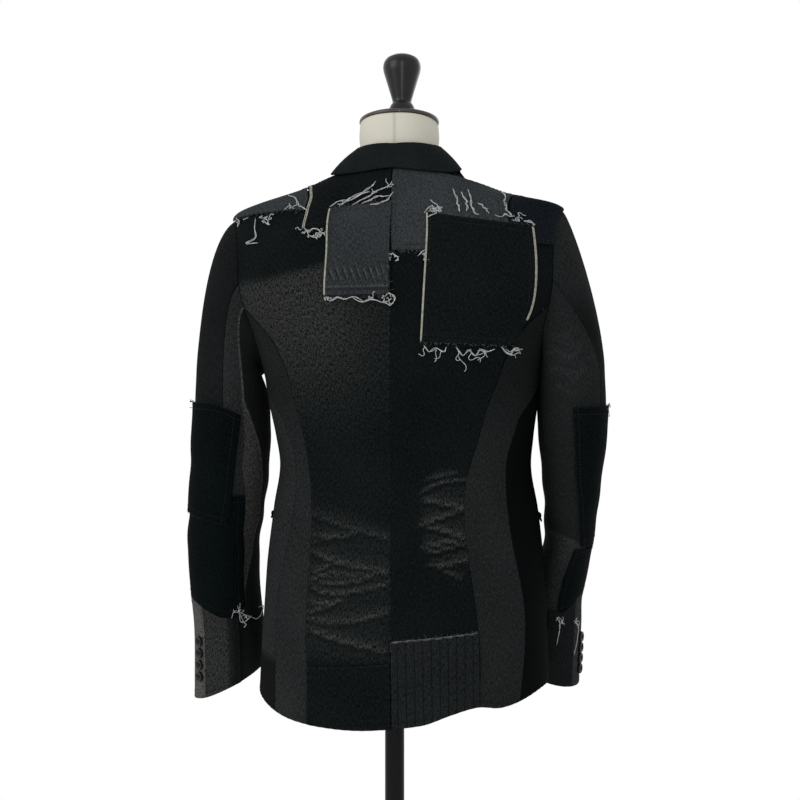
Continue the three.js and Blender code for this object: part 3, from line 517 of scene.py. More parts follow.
def tubes(name, paths, radius, material, sides=5):
    """Tubes round (count, points, 3) paths: a ring across each path's tangent, pinched at its ends."""
    count, length = paths.shape[:2]
    tangent = unit(np.gradient(paths, axis=1))
    outward_hint = unit(paths * [1, 1, 0] + [0, 0, 1e-6])
    sideways = unit(np.cross(tangent, outward_hint))
    other = unit(np.cross(sideways, tangent))
    turn = np.linspace(0, 2 * np.pi, sides, endpoint=False)
    taper = np.ones(length)
    taper[[0, -1]] = 0.35
    r = (np.broadcast_to(radius, (count,))[:, None] * taper)[..., None, None]
    rings = (paths[:, :, None] + r * (np.cos(turn)[:, None] * sideways[:, :, None]
                                      + np.sin(turn)[:, None] * other[:, :, None]))
    one = grid_faces(sides, length, closed=True)
    start = np.arange(count)[:, None, None] * sides * length
    faces = (one[None] + start).reshape(-1, 4)
    points = rings.reshape(-1, 3)
    ends = np.stack([paths[:, 0], paths[:, -1]], 1).reshape(-1, 3)
    cap = np.arange(sides)
    nxt = (cap + 1) % sides
    tip = len(points) + 2 * np.arange(count)[:, None]
    low = (np.arange(count) * sides * length)[:, None]
    high = low + sides * (length - 1)
    near = np.stack([low + nxt, low + cap, tip + 0 * cap, tip + 0 * cap], -1).reshape(-1, 4)
    away = np.stack([high + cap, high + nxt, tip + 1 + 0 * cap, tip + 1 + 0 * cap], -1).reshape(-1, 4)
    body = outward(points, faces)
    caps = np.concatenate([near, away])[:, :3]
    if body is not faces:
        caps = caps[:, ::-1]
    piece = new_mixed(name, np.concatenate([points, ends]), body, caps, material)
    return piece


def new_mixed(name, points, quads, triangles, material):
    """A mesh piece of quads and triangles."""
    mesh = bpy.data.meshes.new(name)
    shifted = (points + np.array([FORM_SHIFT, 0, 0])) / 1000
    mesh.from_pydata(shifted.tolist(), [], quads.tolist() + triangles.tolist())
    mesh.polygons.foreach_set("use_smooth", np.ones(len(mesh.polygons), bool))
    mesh.update()
    mesh.materials.append(material)
    piece = bpy.data.objects.new(name, mesh)
    bpy.context.scene.collection.objects.link(piece)
    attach(piece, "root")
    return piece


# ---- finishes
class Value:
    """A socket of a finish: Python's + - * / and ** on it add Math nodes to that finish."""

    def __init__(self, finish, socket):
        self.finish, self.socket = finish, socket

    def math(self, operation, *others, clamp=False):
        return self.finish.node("ShaderNodeMath", {"operation": operation, "use_clamp": clamp},
                                dict(enumerate((self, *others))))

    def __add__(self, other):
        return self.math("ADD", other)

    def __sub__(self, other):
        return self.math("SUBTRACT", other)

    def __rsub__(self, other):
        return (self * -1.0) + other

    def __mul__(self, other):
        return self.math("MULTIPLY", other)

    def __truediv__(self, other):
        return self.math("DIVIDE", other)

    __radd__, __rmul__ = __add__, __mul__

    def sine(self):
        return self.math("SINE")

    def fraction(self):
        return self.math("FRACT")

    def size(self):
        return self.math("ABSOLUTE")

    def clamped(self):
        return self.math("ADD", 0.0, clamp=True)


class Finish:
    """A material being mixed round one Principled shader."""

    def __init__(self, name, roughness=0.9, specular=0.1, **sockets):
        self.material = bpy.data.materials.new(name)
        self.material.use_nodes = True
        self.tree = self.material.node_tree
        self.shader = self.tree.nodes["Principled BSDF"]
        self.put(Roughness=roughness, **{"Specular IOR Level": specular}, **sockets)

    def put(self, **sockets):
        """Sets or links sockets of the shader."""
        for key, value in sockets.items():
            self.join(self.shader.inputs[key], value)

    def join(self, socket, value):
        if isinstance(value, Value):
            self.tree.links.new(value.socket, socket)
        else:
            socket.default_value = value

    def node(self, kind, settings=None, inputs=None, output=0):
        """Adds a node of a type, sets its settings first, then its sockets."""
        node = self.tree.nodes.new(kind)
        for key, value in (settings or {}).items():
            setattr(node, key, value)
        for key, value in (inputs or {}).items():
            self.join(node.inputs[key], value)
        return Value(self, node.outputs[output])

    def split(self, vector, *axes):
        """The numbers of a vector along some axes, 0 to 2."""
        return [self.node("ShaderNodeSeparateXYZ", {}, {0: vector}, axis) for axis in axes]

    def cut(self):
        """Place on the flat cut, across and up, in metres."""
        return self.split(self.node("ShaderNodeUVMap", {"uv_map": "cut"}), 0, 1)

    def place(self):
        """Object coordinates, in metres."""
        return self.node("ShaderNodeTexCoord", {}, {}, "Object")

    def attribute(self, name):
        return self.node("ShaderNodeAttribute", {"attribute_name": name}, {}, "Fac")

    def vector(self, x, y, z=0.0):
        return self.node("ShaderNodeCombineXYZ", {}, {0: x, 1: y, 2: z})

    def noise(self, vector, scale=1.0, detail=2.0, contrast=1.0):
        """Noise spread about a half by contrast."""
        value = self.node("ShaderNodeTexNoise", {}, {"Vector": vector, "Scale": scale, "Detail": detail})
        return value if contrast == 1.0 else ((value - 0.5) * contrast + 0.5).clamped()

    def blend(self, share, a, b):
        """Colour a passing to colour b by the share."""
        return self.node("ShaderNodeMix", {"data_type": "RGBA"}, {0: share, 6: a, 7: b}, 2)

    def bump(self, height, strength, distance):
        normal = self.node("ShaderNodeBump", {}, {"Height": height, "Strength": strength,
                                                  "Distance": distance})
        self.put(Normal=normal)


def tint(colour, factor=1.0):
    """A colour with full alpha, made lighter or darker."""
    return (*[channel * factor for channel in colour], 1.0)


def denim(name, colour, worn, streak=0.5, rib=0.0016, edge_wear=0.05, stripe=0.0, speckle=1.0):
    """Twill: slanting ribs, upright slubs and coarse grain. Where the per-point attribute of wash and
    shade is above 0 the worn yarn shows through the grain; where it is below 0 the cloth is painted
    darker: darker cloth in some places, painted shade in others."""
    finish = Finish(name, specular=0.02)
    across, upward = finish.cut()
    slubs = finish.noise(finish.vector(across * 900.0, upward * 60.0), 1.0, 3.0, 1.9)
    warp = finish.noise(finish.vector(across * 950.0, upward * 230.0, 7.0), 1.0, 1.0)
    weft = finish.noise(finish.vector(across * 300.0, upward * 900.0, 3.0), 1.0, 1.0)
    grain = ((warp * 0.6 + weft * 0.4 - 0.5) * 5.0 + 0.5).clamped()
    clouds = finish.noise(finish.place(), 13.0, 4.0, 1.6)
    ribs = ((across * 0.8 + upward) * (2 * math.pi / rib)).sine() * 0.5 + 0.5
    tone = ((slubs - 0.5) * streak * 0.7 + (grain - 0.5) * speckle * 0.8 + (clouds - 0.5) * 0.35
            + (ribs - 0.5) * 0.12 + 0.48).clamped()
    plain = finish.blend(tone, tint(colour, 0.38), tint(colour, 1.68))
    if stripe:
        line = ((across / stripe).fraction() - 0.5).size()
        plain = finish.blend((1.0 - line * 9.0).clamped() * 0.8, plain, tint(colour, 0.25))
    # above 0 worn yarn; below 0 darker cloth and painted shade
    washed = finish.attribute("fade")
    pepper = washed * (grain * 1.9 + slubs * 0.4 - 0.33)
    edge = (1.0 - finish.attribute("edge") * 420.0).clamped() * grain * edge_wear
    shown = finish.blend((pepper + edge).clamped(), plain, tint(worn))
    finish.put(**{"Base Color": finish.blend((washed * -1.0).clamped(), shown, tint(colour, 0.1))})
    finish.put(Roughness=0.84 + grain * 0.1)
    finish.bump(ribs * 0.35 + slubs * 0.7 + grain * 0.6, 0.55, 0.0004)
    return finish.material


def wool(name, colour):
    """Felted wool: fine fuzz without a visible weave."""
    finish = Finish(name, specular=0.02)
    fuzz = finish.noise(finish.place(), 620.0, 3.0, 2.4)
    clouds = finish.noise(finish.place(), 30.0, 3.0, 1.5)
    tone = (fuzz * 0.7 + clouds * 0.4 - 0.05).clamped()
    finish.put(**{"Base Color": finish.blend(tone, tint(colour, 0.55), tint(colour, 1.6))})
    finish.put(Roughness=0.88 + fuzz * 0.08)
    finish.bump(fuzz, 0.5, 0.0004)
    return finish.material


def cotton(name, light, dark):
    """Loose cotton: strands from light to dark, with fine twisted grain."""
    finish = Finish(name, specular=0.15)
    strand = finish.noise(finish.place(), 260.0, 2.0, 2.4)
    twist = finish.noise(finish.place(), 2200.0, 1.0, 1.6)
    tone = (strand * 0.8 + twist * 0.3 - 0.1).clamped()
    finish.put(**{"Base Color": finish.blend(tone, tint(dark), tint(light))})
    finish.put(Roughness=0.85 + twist * 0.1)
    finish.bump(twist, 0.4, 0.0002)
    return finish.material


def linen(name, colour):
    """Plain weave drawn tight: two crossed sets of threads with a few thick ones."""
    finish = Finish(name, specular=0.15)
    across, upward = finish.cut()
    warp = (across * (2 * math.pi / 0.0011)).sine() * 0.5 + 0.5
    weft = (upward * (2 * math.pi / 0.0011)).sine() * 0.5 + 0.5
    slubs = finish.noise(finish.vector(across * 90.0, upward * 900.0), 1.0, 2.0, 1.6)
    clouds = finish.noise(finish.place(), 9.0, 3.0, 1.4)
    tone = (warp * weft * 0.3 + slubs * 0.4 + clouds * 0.4).clamped()
    plain = finish.blend(tone, tint(colour, 0.9), tint(colour, 1.06))
    seam = (1.0 - finish.attribute("seam")).clamped()
    finish.put(**{"Base Color": finish.blend(seam * 0.45, plain, tint(colour, 0.5))})
    finish.put(Roughness=0.8 + slubs * 0.1)
    finish.bump(warp * weft + slubs * 0.5 - seam * 2.0, 0.35, 0.0003)
    return finish.material


def hard(name, colour, roughness, specular, grain, grain_scale, coat=0.0, stretch=1.0, depth=0.0001):
    """Wood, lacquer or paint: grain drawn out along Z, a little in colour, roughness and relief."""
    finish = Finish(name, roughness, specular, **{"Coat Weight": coat, "Coat Roughness": 0.08})
    x, y, z = finish.split(finish.place(), 0, 1, 2)
    lines = finish.noise(finish.vector(x, y, z * stretch), grain_scale, 4.0, 1.8)
    finish.put(**{"Base Color": finish.blend(lines, tint(colour, 1 - grain), tint(colour, 1 + grain))})
    finish.put(Roughness=roughness - 0.05 + lines * 0.1)
    finish.bump(lines, 0.3, depth)
    return finish.material


# ---- washed areas and painted shade, each a share of 0 to 1 over an angle and a height
def near_lines(angle, height, lines, reach):
    """Sum of bells round curved lines through (angle, height) points, by distance in millimetres."""
    total = np.zeros(np.shape(angle))
    for line in lines:
        share = np.linspace(0, 1, len(line))
        t = np.linspace(0, 1, 26)
        a, h = (curve(list(zip(share, column)), t) for column in zip(*line))
        gap = ((angle[..., None] - a) * 2.0) ** 2 + (height[..., None] - h) ** 2
        total = np.maximum(total, np.exp(-gap.min(-1) / reach ** 2))
    return total


# Creases as (degrees round, height). A scratch program printed these numbers from positions
# picked on the photograph, which the work order's rule on tables doesn't allow: see report.md.
LEFT_CREASES = [[(54, 1012), (32, 998), (6, 987)], [(52, 988), (37, 988), (28, 992)],
                [(51, 980), (44, 984), (28, 991)], [(50, 967), (34, 956), (6, 948)],
                [(48, 944), (41, 952)], [(48, 935), (40, 942), (6, 944)],
                [(48, 932), (33, 934), (16, 941)], [(48, 928), (38, 920), (26, 924), (5, 935)],
                [(46, 908), (38, 909)], [(46, 898), (38, 906), (32, 915)],
                [(46, 889), (30, 889), (4, 902)], [(45, 877), (29, 868), (5, 859)]]
RIGHT_CREASES = [[(-12, 1035), (-30, 1052), (-46, 1056)], [(-14, 1053), (-46, 1067)],
                 [(-12, 1034), (-28, 1029), (-42, 1023)], [(-12, 999), (-28, 1010), (-42, 1020)],
                 [(-22, 1000), (-31, 996), (-41, 989)], [(-10, 973), (-28, 981), (-41, 987)],
                 [(-12, 970), (-27, 973), (-42, 982)], [(-15, 956), (-28, 956), (-41, 961)],
                 [(-26, 954), (-38, 939)]]


def whisker_wash_and_shade(angle, height, creases):
    """Whiskers over each crease: thin bright ridges, worn yarn with a painted highlight on it, a wider
    washed glow round them, and a dark line below that is painted crease shade.
    """
    # painted highlight along each ridge, over the whisker's worn yarn
    ridge = near_lines(angle, height + 1.5, creases, 2.0)
    glow = near_lines(angle, height - 1, creases, 8.0)
    # painted shade: the dark line below each crease
    dark = near_lines(angle, height + 5.5, creases, 2.2)
    return 0.05 + 0.30 * ridge + 0.09 * glow - 0.24 * dark


def left_back_wash_and_shade(angle, height):
    """The upper wash below a slanting tide line, and the whiskered one above the hem block, whose
    whiskers carry painted crease highlights and painted crease shade.
    """
    tide = curve([(-3, 1322), (20, 1318), (35, 1312), (52, 1302), (62, 1296), (83, 1300)], angle)
    upper = 1 - step(-9, 7, height - tide)
    upper = upper * mix(0.35, 1.0, step(4, 44, angle)) * mix(0.03, 1.0, step(1085, 1265, height))
    top = curve([(0, 985), (5, 992), (38, 1014), (56, 1022)], angle)
    lower = (1 - step(-6, 10, height - top)) * step(838, 850, height) * step(-2, 9, angle)
    lower = lower * (1 - 0.35 * step(960, 1000, height)) * mix(1.0, 0.6, step(40, 52, angle))
    # the whiskered wash holds painted crease highlights and shade
    return np.clip(0.23 * upper + lower * whisker_wash_and_shade(angle, height, LEFT_CREASES), 0, 1)


def right_back_wash_and_shade(angle, height):
    """An oval whiskered wash between the centre back and the back seam, with painted crease highlights
    and painted crease shade in its whiskers, and darker cloth round it.
    """
    rim = 1.25 - ((angle + 34) / 22) ** 2 - ((height - 1004) / 76) ** 2
    oval = step(0.0, 1.0, rim)
    return np.clip(oval * whisker_wash_and_shade(angle, height, RIGHT_CREASES) - 0.1 * (1 - oval), -1, 1)


def painted_flank_shade(name):
    """Painted shade on both flanks: darker towards their tops, under the sleeves, and the right one,
    which stands in shade, darkest.
    """
    if name == "left":
        return lambda angle, height: -0.18 - 0.2 * step(1040, 1160, height)
    return lambda angle, height: -0.32 - 0.3 * step(1040, 1200, height)


def front_fade(name):
    """The left front is grey with an unwashed block at its foot; the right one is darker."""
    if name == "left":
        return lambda angle, height: 0.75 * (step(829, 834, height) - 1) - 0.05
    return lambda angle, height: -0.7 + 0 * angle


# ---- threads and frayed edges
def ground_body(angle, height, lift=0.0):
    """Point over the body's folds."""
    return on_body(angle, height, lift + body_folds(angle, height))


def ground_sleeve(name):
    """Point over a sleeve's folds, by turn and height."""
    return lambda turn, height, lift=0.0: on_tube(name, turn, height,
                                                  lift + sleeve_folds(turn, height))


def laid(ground, knots, lift, points=22, wobble=0.5, seed=0):
    """A thread laid along a curve through (turn, height) knots, wandering and lifting a little."""
    t = np.linspace(0, 1, points)
    share = np.linspace(0, 1, len(knots))
    a, h = (curve(list(zip(share, column)), t) for column in zip(*knots))
    rng = np.random.default_rng(seed)
    phase = rng.uniform(0, 6.3, 3)
    a = a + wobble * 0.5 * np.sin(t * 17 + phase[0]) * np.sin(np.pi * t)
    h = h + wobble * np.sin(t * 13 + phase[1]) * np.sin(np.pi * t)
    return ground(a, h, lift + 0.8 * np.sin(t * 9 + phase[2]) ** 2)


def curls(ground, start, count, heading, length, swing, lift, seed, degree=BODY_DEGREE,
          spread=3.0, points=22):
    """Threads from round a start: each heads off, swings by sines and bends, all seeded."""
    rng = np.random.default_rng(seed)
    t = np.linspace(0, 1, points)
    size = (count, 1)
    base = np.radians(heading) + rng.normal(0, 0.35, size)
    bend = rng.uniform(-1, 1, size) * swing * 1.6 * t
    waves = swing * np.sin(2 * np.pi * (rng.uniform(0.5, 1.5, size) * t + rng.uniform(0, 1, size)))
    direction = base + bend + waves
    pace = length * rng.uniform(0.5, 1.15, size) / points
    x = np.cumsum(np.cos(direction) * pace, 1) + rng.normal(0, spread, size)
    y = np.cumsum(np.sin(direction) * pace, 1) + rng.normal(0, spread * 0.35, size)
    rise_by = lift + 1.6 * np.sin(np.pi * t) * rng.uniform(0, 1, size) + 0.5 * t
    return ground(start[0] + x / degree, start[1] + y, rise_by)


def fringe(ground, edge, down, length, spacing, lift, seed, degree=BODY_DEGREE, points=5):
    """Fibres along an edge of (angle, height) points: short arcs that splay out of the raw edge."""
    rng = np.random.default_rng(seed)
    a, h = (np.asarray(column, float) for column in zip(*edge))
    run = np.concatenate([[0], np.hypot(np.diff(a) * degree, np.diff(h)).cumsum()])
    at = np.arange(0, run[-1], spacing) + rng.uniform(-0.4, 0.4, len(np.arange(0, run[-1], spacing)))
    at = np.clip(at, 0, run[-1])[:, None]
    t = np.linspace(0, 1, points)
    reach = length * rng.gamma(3.0, 1 / 3.0, at.shape)
    lean = rng.normal(0, 0.55, at.shape)
    x = reach * (lean * t + rng.normal(0, 0.35, at.shape) * t * t)
    y = down * reach * t
    return ground(np.interp(at, run, a) + x / degree, np.interp(at, run, h) + y,
                  lift + rng.uniform(-0.3, 1.6, at.shape) * t)


def stitches(ground, edge, length, pitch, lift, degree=BODY_DEGREE):
    """Running stitches along an edge: short low arcs, one each pitch."""
    a, h = (np.asarray(column, float) for column in zip(*edge))
    run = np.concatenate([[0], np.hypot(np.diff(a) * degree, np.diff(h)).cumsum()])
    at = np.arange(pitch / 2, run[-1] - length, pitch)[:, None]
    t = np.linspace(0, 1, 4)
    place = at + length * t
    return ground(np.interp(place, run, a), np.interp(place, run, h), lift + 0.35 * np.sin(np.pi * t))


# ---- settings a user would change
class JacketSettings(bpy.types.PropertyGroup):
    """Colours and sizes of the jacket and its form."""

    black: FloatVectorProperty(name="Black denim", description="Over-dyed twill", subtype="COLOR",
                               default=(0.0036, 0.0050, 0.0053))
    deep: FloatVectorProperty(name="Deep black denim", description="Unwashed twill of the blocks",
                              subtype="COLOR", default=(0.0017, 0.0030, 0.0033))
    charcoal: FloatVectorProperty(name="Charcoal denim", description="Twill of the sleeves",
                                  subtype="COLOR", default=(0.0082, 0.0096, 0.0100))
    grey: FloatVectorProperty(name="Grey denim", description="Washed twill of the side panels",
                              subtype="COLOR", default=(0.0138, 0.0152, 0.0156))
    pale: FloatVectorProperty(name="Pale grey denim", description="Twill of the yoke patches",
                              subtype="COLOR", default=(0.0225, 0.0256, 0.0274))
    navy: FloatVectorProperty(name="Blue-black denim", description="Twill of a shoulder patch",
                              subtype="COLOR", default=(0.0052, 0.0068, 0.0092))
    worn: FloatVectorProperty(name="Worn yarn", description="Weft that shows through a wash",
                              subtype="COLOR", default=(0.070, 0.070, 0.064))
    wool: FloatVectorProperty(name="Collar wool", description="Felted undercollar", subtype="COLOR",
                              default=(0.0062, 0.0078, 0.0083))
    cotton: FloatVectorProperty(name="Loose cotton", description="Threads and self-edges",
                                subtype="COLOR", default=(0.44, 0.455, 0.45))
    linen: FloatVectorProperty(name="Form linen", description="Cover of the dress form",
                               subtype="COLOR", default=(0.46, 0.445, 0.38))
    wood: FloatVectorProperty(name="Neck cap wood", description="Dark varnished cap",
                              subtype="COLOR", default=(0.016, 0.010, 0.007))
    thread: FloatProperty(name="Thread radius", description="Radius of the loose threads",
                          default=0.00042, min=0.0002, max=0.001, unit="LENGTH", precision=5)
    fray: FloatProperty(name="Fray length", description="Mean length of the raw edges' fibres",
                        default=0.0028, min=0.001, max=0.01, unit="LENGTH", precision=4)
    fray_spacing: FloatProperty(name="Fray spacing", description="From fibre to fibre",
                                default=0.0014, min=0.0005, max=0.01, unit="LENGTH", precision=4)
    pucker: FloatProperty(name="Seam pucker", description="Height of the ripples along the seams",
                          default=0.0004, min=0.0, max=0.002, unit="LENGTH", precision=4)


class StudioSettings(bpy.types.PropertyGroup):
    """Light and floor."""

    sky: FloatProperty(name="Room light", description="Strength of the white room", default=1.0,
                       min=0.0, max=3.0)
    key: FloatProperty(name="Key light", description="Power of the large soft light", default=54.0,
                       min=0.0, max=1000.0, unit="POWER")
    fill: FloatProperty(name="Fill light", description="Power of the second soft light",
                        default=10.0, min=0.0, max=1000.0, unit="POWER")
    strip: FloatProperty(name="Strip light", description="Power of the tall narrow light",
                         default=9.0, min=0.0, max=1000.0, unit="POWER")
    floor: FloatProperty(name="Floor radius", description="Radius of the round pale floor",
                         default=1.2, min=0.5, max=5.0, unit="LENGTH")
    sides: IntProperty(name="Floor sides", description="Corners of the round floor", default=128,
                       min=32, max=512)


def finish_of(name):
    """A finish by name, made from the settings when first asked for."""
    key, name = name, f"{name}_finish"
    if name in bpy.data.materials:
        return bpy.data.materials[name]
    jacket = bpy.context.scene.jacket
    worn = tuple(jacket.worn)
    makers = {
        "black_denim": lambda: denim(name, jacket.black, worn, 0.45),
        "deep_denim": lambda: denim(name, jacket.deep, worn, 0.3),
        "charcoal_denim": lambda: denim(name, jacket.charcoal, worn, 0.5),
        "grey_denim": lambda: denim(name, jacket.grey, worn, 0.5),
        "pale_denim": lambda: denim(name, jacket.pale, worn, 0.35, speckle=0.8),
        "navy_denim": lambda: denim(name, jacket.navy, worn, 0.4),
        "faded_denim": lambda: denim(name, jacket.charcoal, worn, 0.6),
        "pinstripe_denim": lambda: denim(name, jacket.charcoal, worn, 0.5, stripe=0.0100),
        "collar_wool": lambda: wool(name, jacket.wool),
        "edge_cotton": lambda: cotton(name, (0.31, 0.31, 0.25), (0.15, 0.15, 0.12)),
        "white_cotton": lambda: cotton(name, jacket.cotton, tuple(0.45 * c for c in jacket.cotton)),
        "grey_fray": lambda: cotton(name, tuple(0.3 * c for c in jacket.cotton), (0.012, 0.013, 0.014)),
        "black_thread": lambda: cotton(name, (0.02, 0.021, 0.023), (0.006, 0.007, 0.008)),
        "form_linen": lambda: linen(name, jacket.linen),
        "cap_wood": lambda: hard(name, jacket.wood, 0.4, 0.4, 0.5, 60.0, 0.3, 0.2),
        "lacquer": lambda: hard(name, (0.004, 0.0042, 0.005), 0.26, 0.25, 0.25, 25.0, 0.0),
        "stand_paint": lambda: hard(name, (0.004, 0.0042, 0.0046), 0.38, 0.08, 0.2, 700.0),
        "button_horn": lambda: hard(name, (0.003, 0.003, 0.0034), 0.34, 0.14, 0.4, 240.0),
        "pale_floor": lambda: hard(name, (0.72, 0.72, 0.71), 0.7, 0.2, 0.03, 6.0),
    }
    return makers[key]()


FRONT_SLOT = {"left": "grey_denim", "right": "black_denim"}
CUFF_FINISH = {"left": "faded_denim", "right": "charcoal_denim"}


class JACKET_OT_back(bpy.types.Operator):
    """Two back panels from the hem to the neck, with their washed areas, whose whiskers carry painted
    crease highlights and shade
    """
    bl_idname = "jacket.back"
    bl_label = "Back panels"

    def execute(self, context):
        pucker_depth = context.scene.jacket.pucker * 1000
        # washes of the back panels, with painted crease highlights and shade in the whiskers
        back_washes_and_shades = {"left": left_back_wash_and_shade, "right": right_back_wash_and_shade}
        for name, side in SIDES.items():
            chart = lambda u, v: back_chart(name, side, u, v)
            piece = body_cloth(f"cloth_back_{name}", chart, 88, 270, 0.0, WALL,
                               finish_of("black_denim"), back_washes_and_shades[name], pucker_depth)
            declare(f"back_{name}")
        return {"FINISHED"}


class JACKET_OT_flanks(bpy.types.Operator):
    """Two side panels, let in between the backs and the fronts below the armholes"""
    bl_idname = "jacket.flanks"
    bl_label = "Side panels"

    def execute(self, context):
        for name, side in SIDES.items():
            chart = lambda u, v: side_chart(name, side, u, v)
            piece = body_cloth(f"cloth_side_{name}", chart, 40, 170, 0.0, WALL,
                               # painted shade on the flanks
                               finish_of("grey_denim"), painted_flank_shade(name),
                               context.scene.jacket.pucker * 1000)
            declare(f"side_{name}")
        return {"FINISHED"}


class JACKET_OT_fronts(bpy.types.Operator):
    """Two fronts; the left one lies over the right one"""
    bl_idname = "jacket.fronts"
    bl_label = "Fronts"

    def execute(self, context):
        for name, side in SIDES.items():
            chart = lambda u, v: front_chart(side, u, v)
            over = lambda angle, height: over_lift(side, angle, height)
            piece = body_cloth(f"cloth_front_{name}", chart, 70, 180, 0.0, WALL,
                               finish_of(FRONT_SLOT[name]), front_fade(name),
                               context.scene.jacket.pucker * 1000, over)
            declare(f"front_{name}")
        return {"FINISHED"}


PATCHES = {
    "shoulder_patch_left": dict(
        finish="pale_denim", slot="grey_denim", size=(60, 40), bow=0, lift=PATCH_LIFT,
        rear=[(50.2, 1386), (53, 1405), (65, 1422), (87, 1428.6)],
        fore=[(84, 1391), (86, 1395), (88, 1398.5)]),
    "yoke_patch_left": dict(
        finish="black_denim", slot="black_denim", size=(70, 50), bow=5, lift=PATCH_LIFT,
        rear=[(-2.1, 1360), (-0.4, 1434)],
        fore=[(47.5, 1357), (49, 1382), (52, 1405), (64, 1423), (87, 1430)]),
    "centre_patch_left": dict(
        finish="pale_denim", slot="grey_denim", size=(110, 120), bow=0, lift=SECOND_LIFT,
        rear=[(-0.5, 1274), (-2.4, 1384)], fore=[(35, 1274), (34.2, 1327), (37.5, 1381)]),
    "yoke_patch_right": dict(
        finish="pale_denim", slot="grey_denim", size=(80, 60), bow=5, lift=PATCH_LIFT,
        rear=[(-2.9, 1326), (-1.6, 1434)], fore=[(-58, 1326), (-60.5, 1371), (-66.2, 1402), (-87, 1419)]),
    "shoulder_patch_right": dict(
        finish="navy_denim", slot="navy_denim", size=(46, 50), bow=0, lift=PATCH_LIFT,
        rear=[(-59.2, 1337), (-61.2, 1371), (-66.9, 1402), (-87.5, 1418)],
        fore=[(-74.6, 1338), (-78.5, 1368), (-84, 1391), (-88, 1398.5)]),
    "big_patch_right": dict(
        finish="black_denim", slot="black_denim", size=(76, 90), bow=0, lift=SECOND_LIFT,
        rear=[(-18, 1219), (-21, 1297), (-25, 1371)],
        fore=[(-61, 1216), (-65.4, 1254), (-66.2, 1305), (-67.4, 1357)]),
}


def patch_chart(patch, u, v):
    """Angle and height between a patch's two upright edges, its top bowed by a half sine."""
    edges = []
    for points in (patch["rear"], patch["fore"]):
        share = np.linspace(0, 1, len(points))
        edges.append([curve(list(zip(share, column)), v) for column in zip(*points)])
    (angle_a, height_a), (angle_b, height_b) = edges
    return (mix(angle_a, angle_b, u),
            mix(height_a, height_b, u) + patch["bow"] * v * np.sin(np.pi * u))


def chart_edge(chart, which, points=40, inset=0.0):
    """(turn, height) points along an edge of a chart: bottom, top, rear or fore, set in a share."""
    t = np.linspace(0, 1, points)
    inner = {"bottom": inset, "top": 1 - inset, "rear": inset, "fore": 1 - inset}[which]
    u, v = (t, 0 * t + inner) if which in ("bottom", "top") else (0 * t + inner, t)
    return list(zip(*chart(u, v)))


# Frayed edges of each patch, self-edges, and loose threads: heads of curls as
# (angle, height, count, heading, length, swing) and long ones as lists of (angle, height).
FRAYED = {
    "shoulder_patch_left": ["bottom"],
    "yoke_patch_left": ["bottom"],
    "centre_patch_left": ["top", "bottom", "rear"],
    "yoke_patch_right": ["bottom"],
    "shoulder_patch_right": [],
    "big_patch_right": ["top", "bottom"],
}
SELF_EDGES = {"yoke_patch_left": ["fore"], "centre_patch_left": ["fore"],
              "big_patch_right": ["rear", "fore"]}
CURLS = {
    "shoulder_patch_left": [(66, 1381, 4, 200, 12, 1.8), (63, 1377, 3, 240, 11, 1.9),
                            (56, 1388, 3, 80, 12, 1.4), (75, 1385, 2, 230, 7, 1.2)],
    "yoke_patch_left": [(45, 1355, 4, 300, 14, 1.8), (40, 1350, 4, 350, 13, 2.0),
                        (37, 1349, 3, 20, 11, 1.8)],
    "centre_patch_left": [(33, 1272, 3, 250, 10, 1.9), (10, 1268, 3, 180, 14, 1.7),
                          (1, 1271, 5, 270, 12, 2.0), (8, 1396, 2, 30, 18, 0.5),
                          (-1, 1401, 3, 120, 14, 0.8), (33, 1383, 2, 150, 8, 0.8)],
    "yoke_patch_right": [(-3, 1317, 3, 250, 11, 1.9), (-23, 1318, 5, 300, 12, 2.0),
                         (-26, 1314, 3, 200, 11, 1.9)],
    "big_patch_right": [(-28, 1373, 5, 200, 15, 1.6), (-31, 1371, 3, 120, 12, 1.6),
                        (-60, 1367, 4, 60, 14, 1.2), (-63, 1364, 4, 200, 11, 1.8),
                        (-22, 1212, 1, 300, 20, 1.0), (-29, 1211, 2, 340, 20, 1.2),
                        (-40, 1209, 3, 280, 28, 1.3), (-46, 1208, 2, 250, 24, 1.2),
                        (-58, 1210, 3, 170, 22, 1.1), (-62, 1212, 2, 270, 12, 1.4)],
}
SELF_EDGE_FROM = {("big_patch_right", "fore"): 0.27}
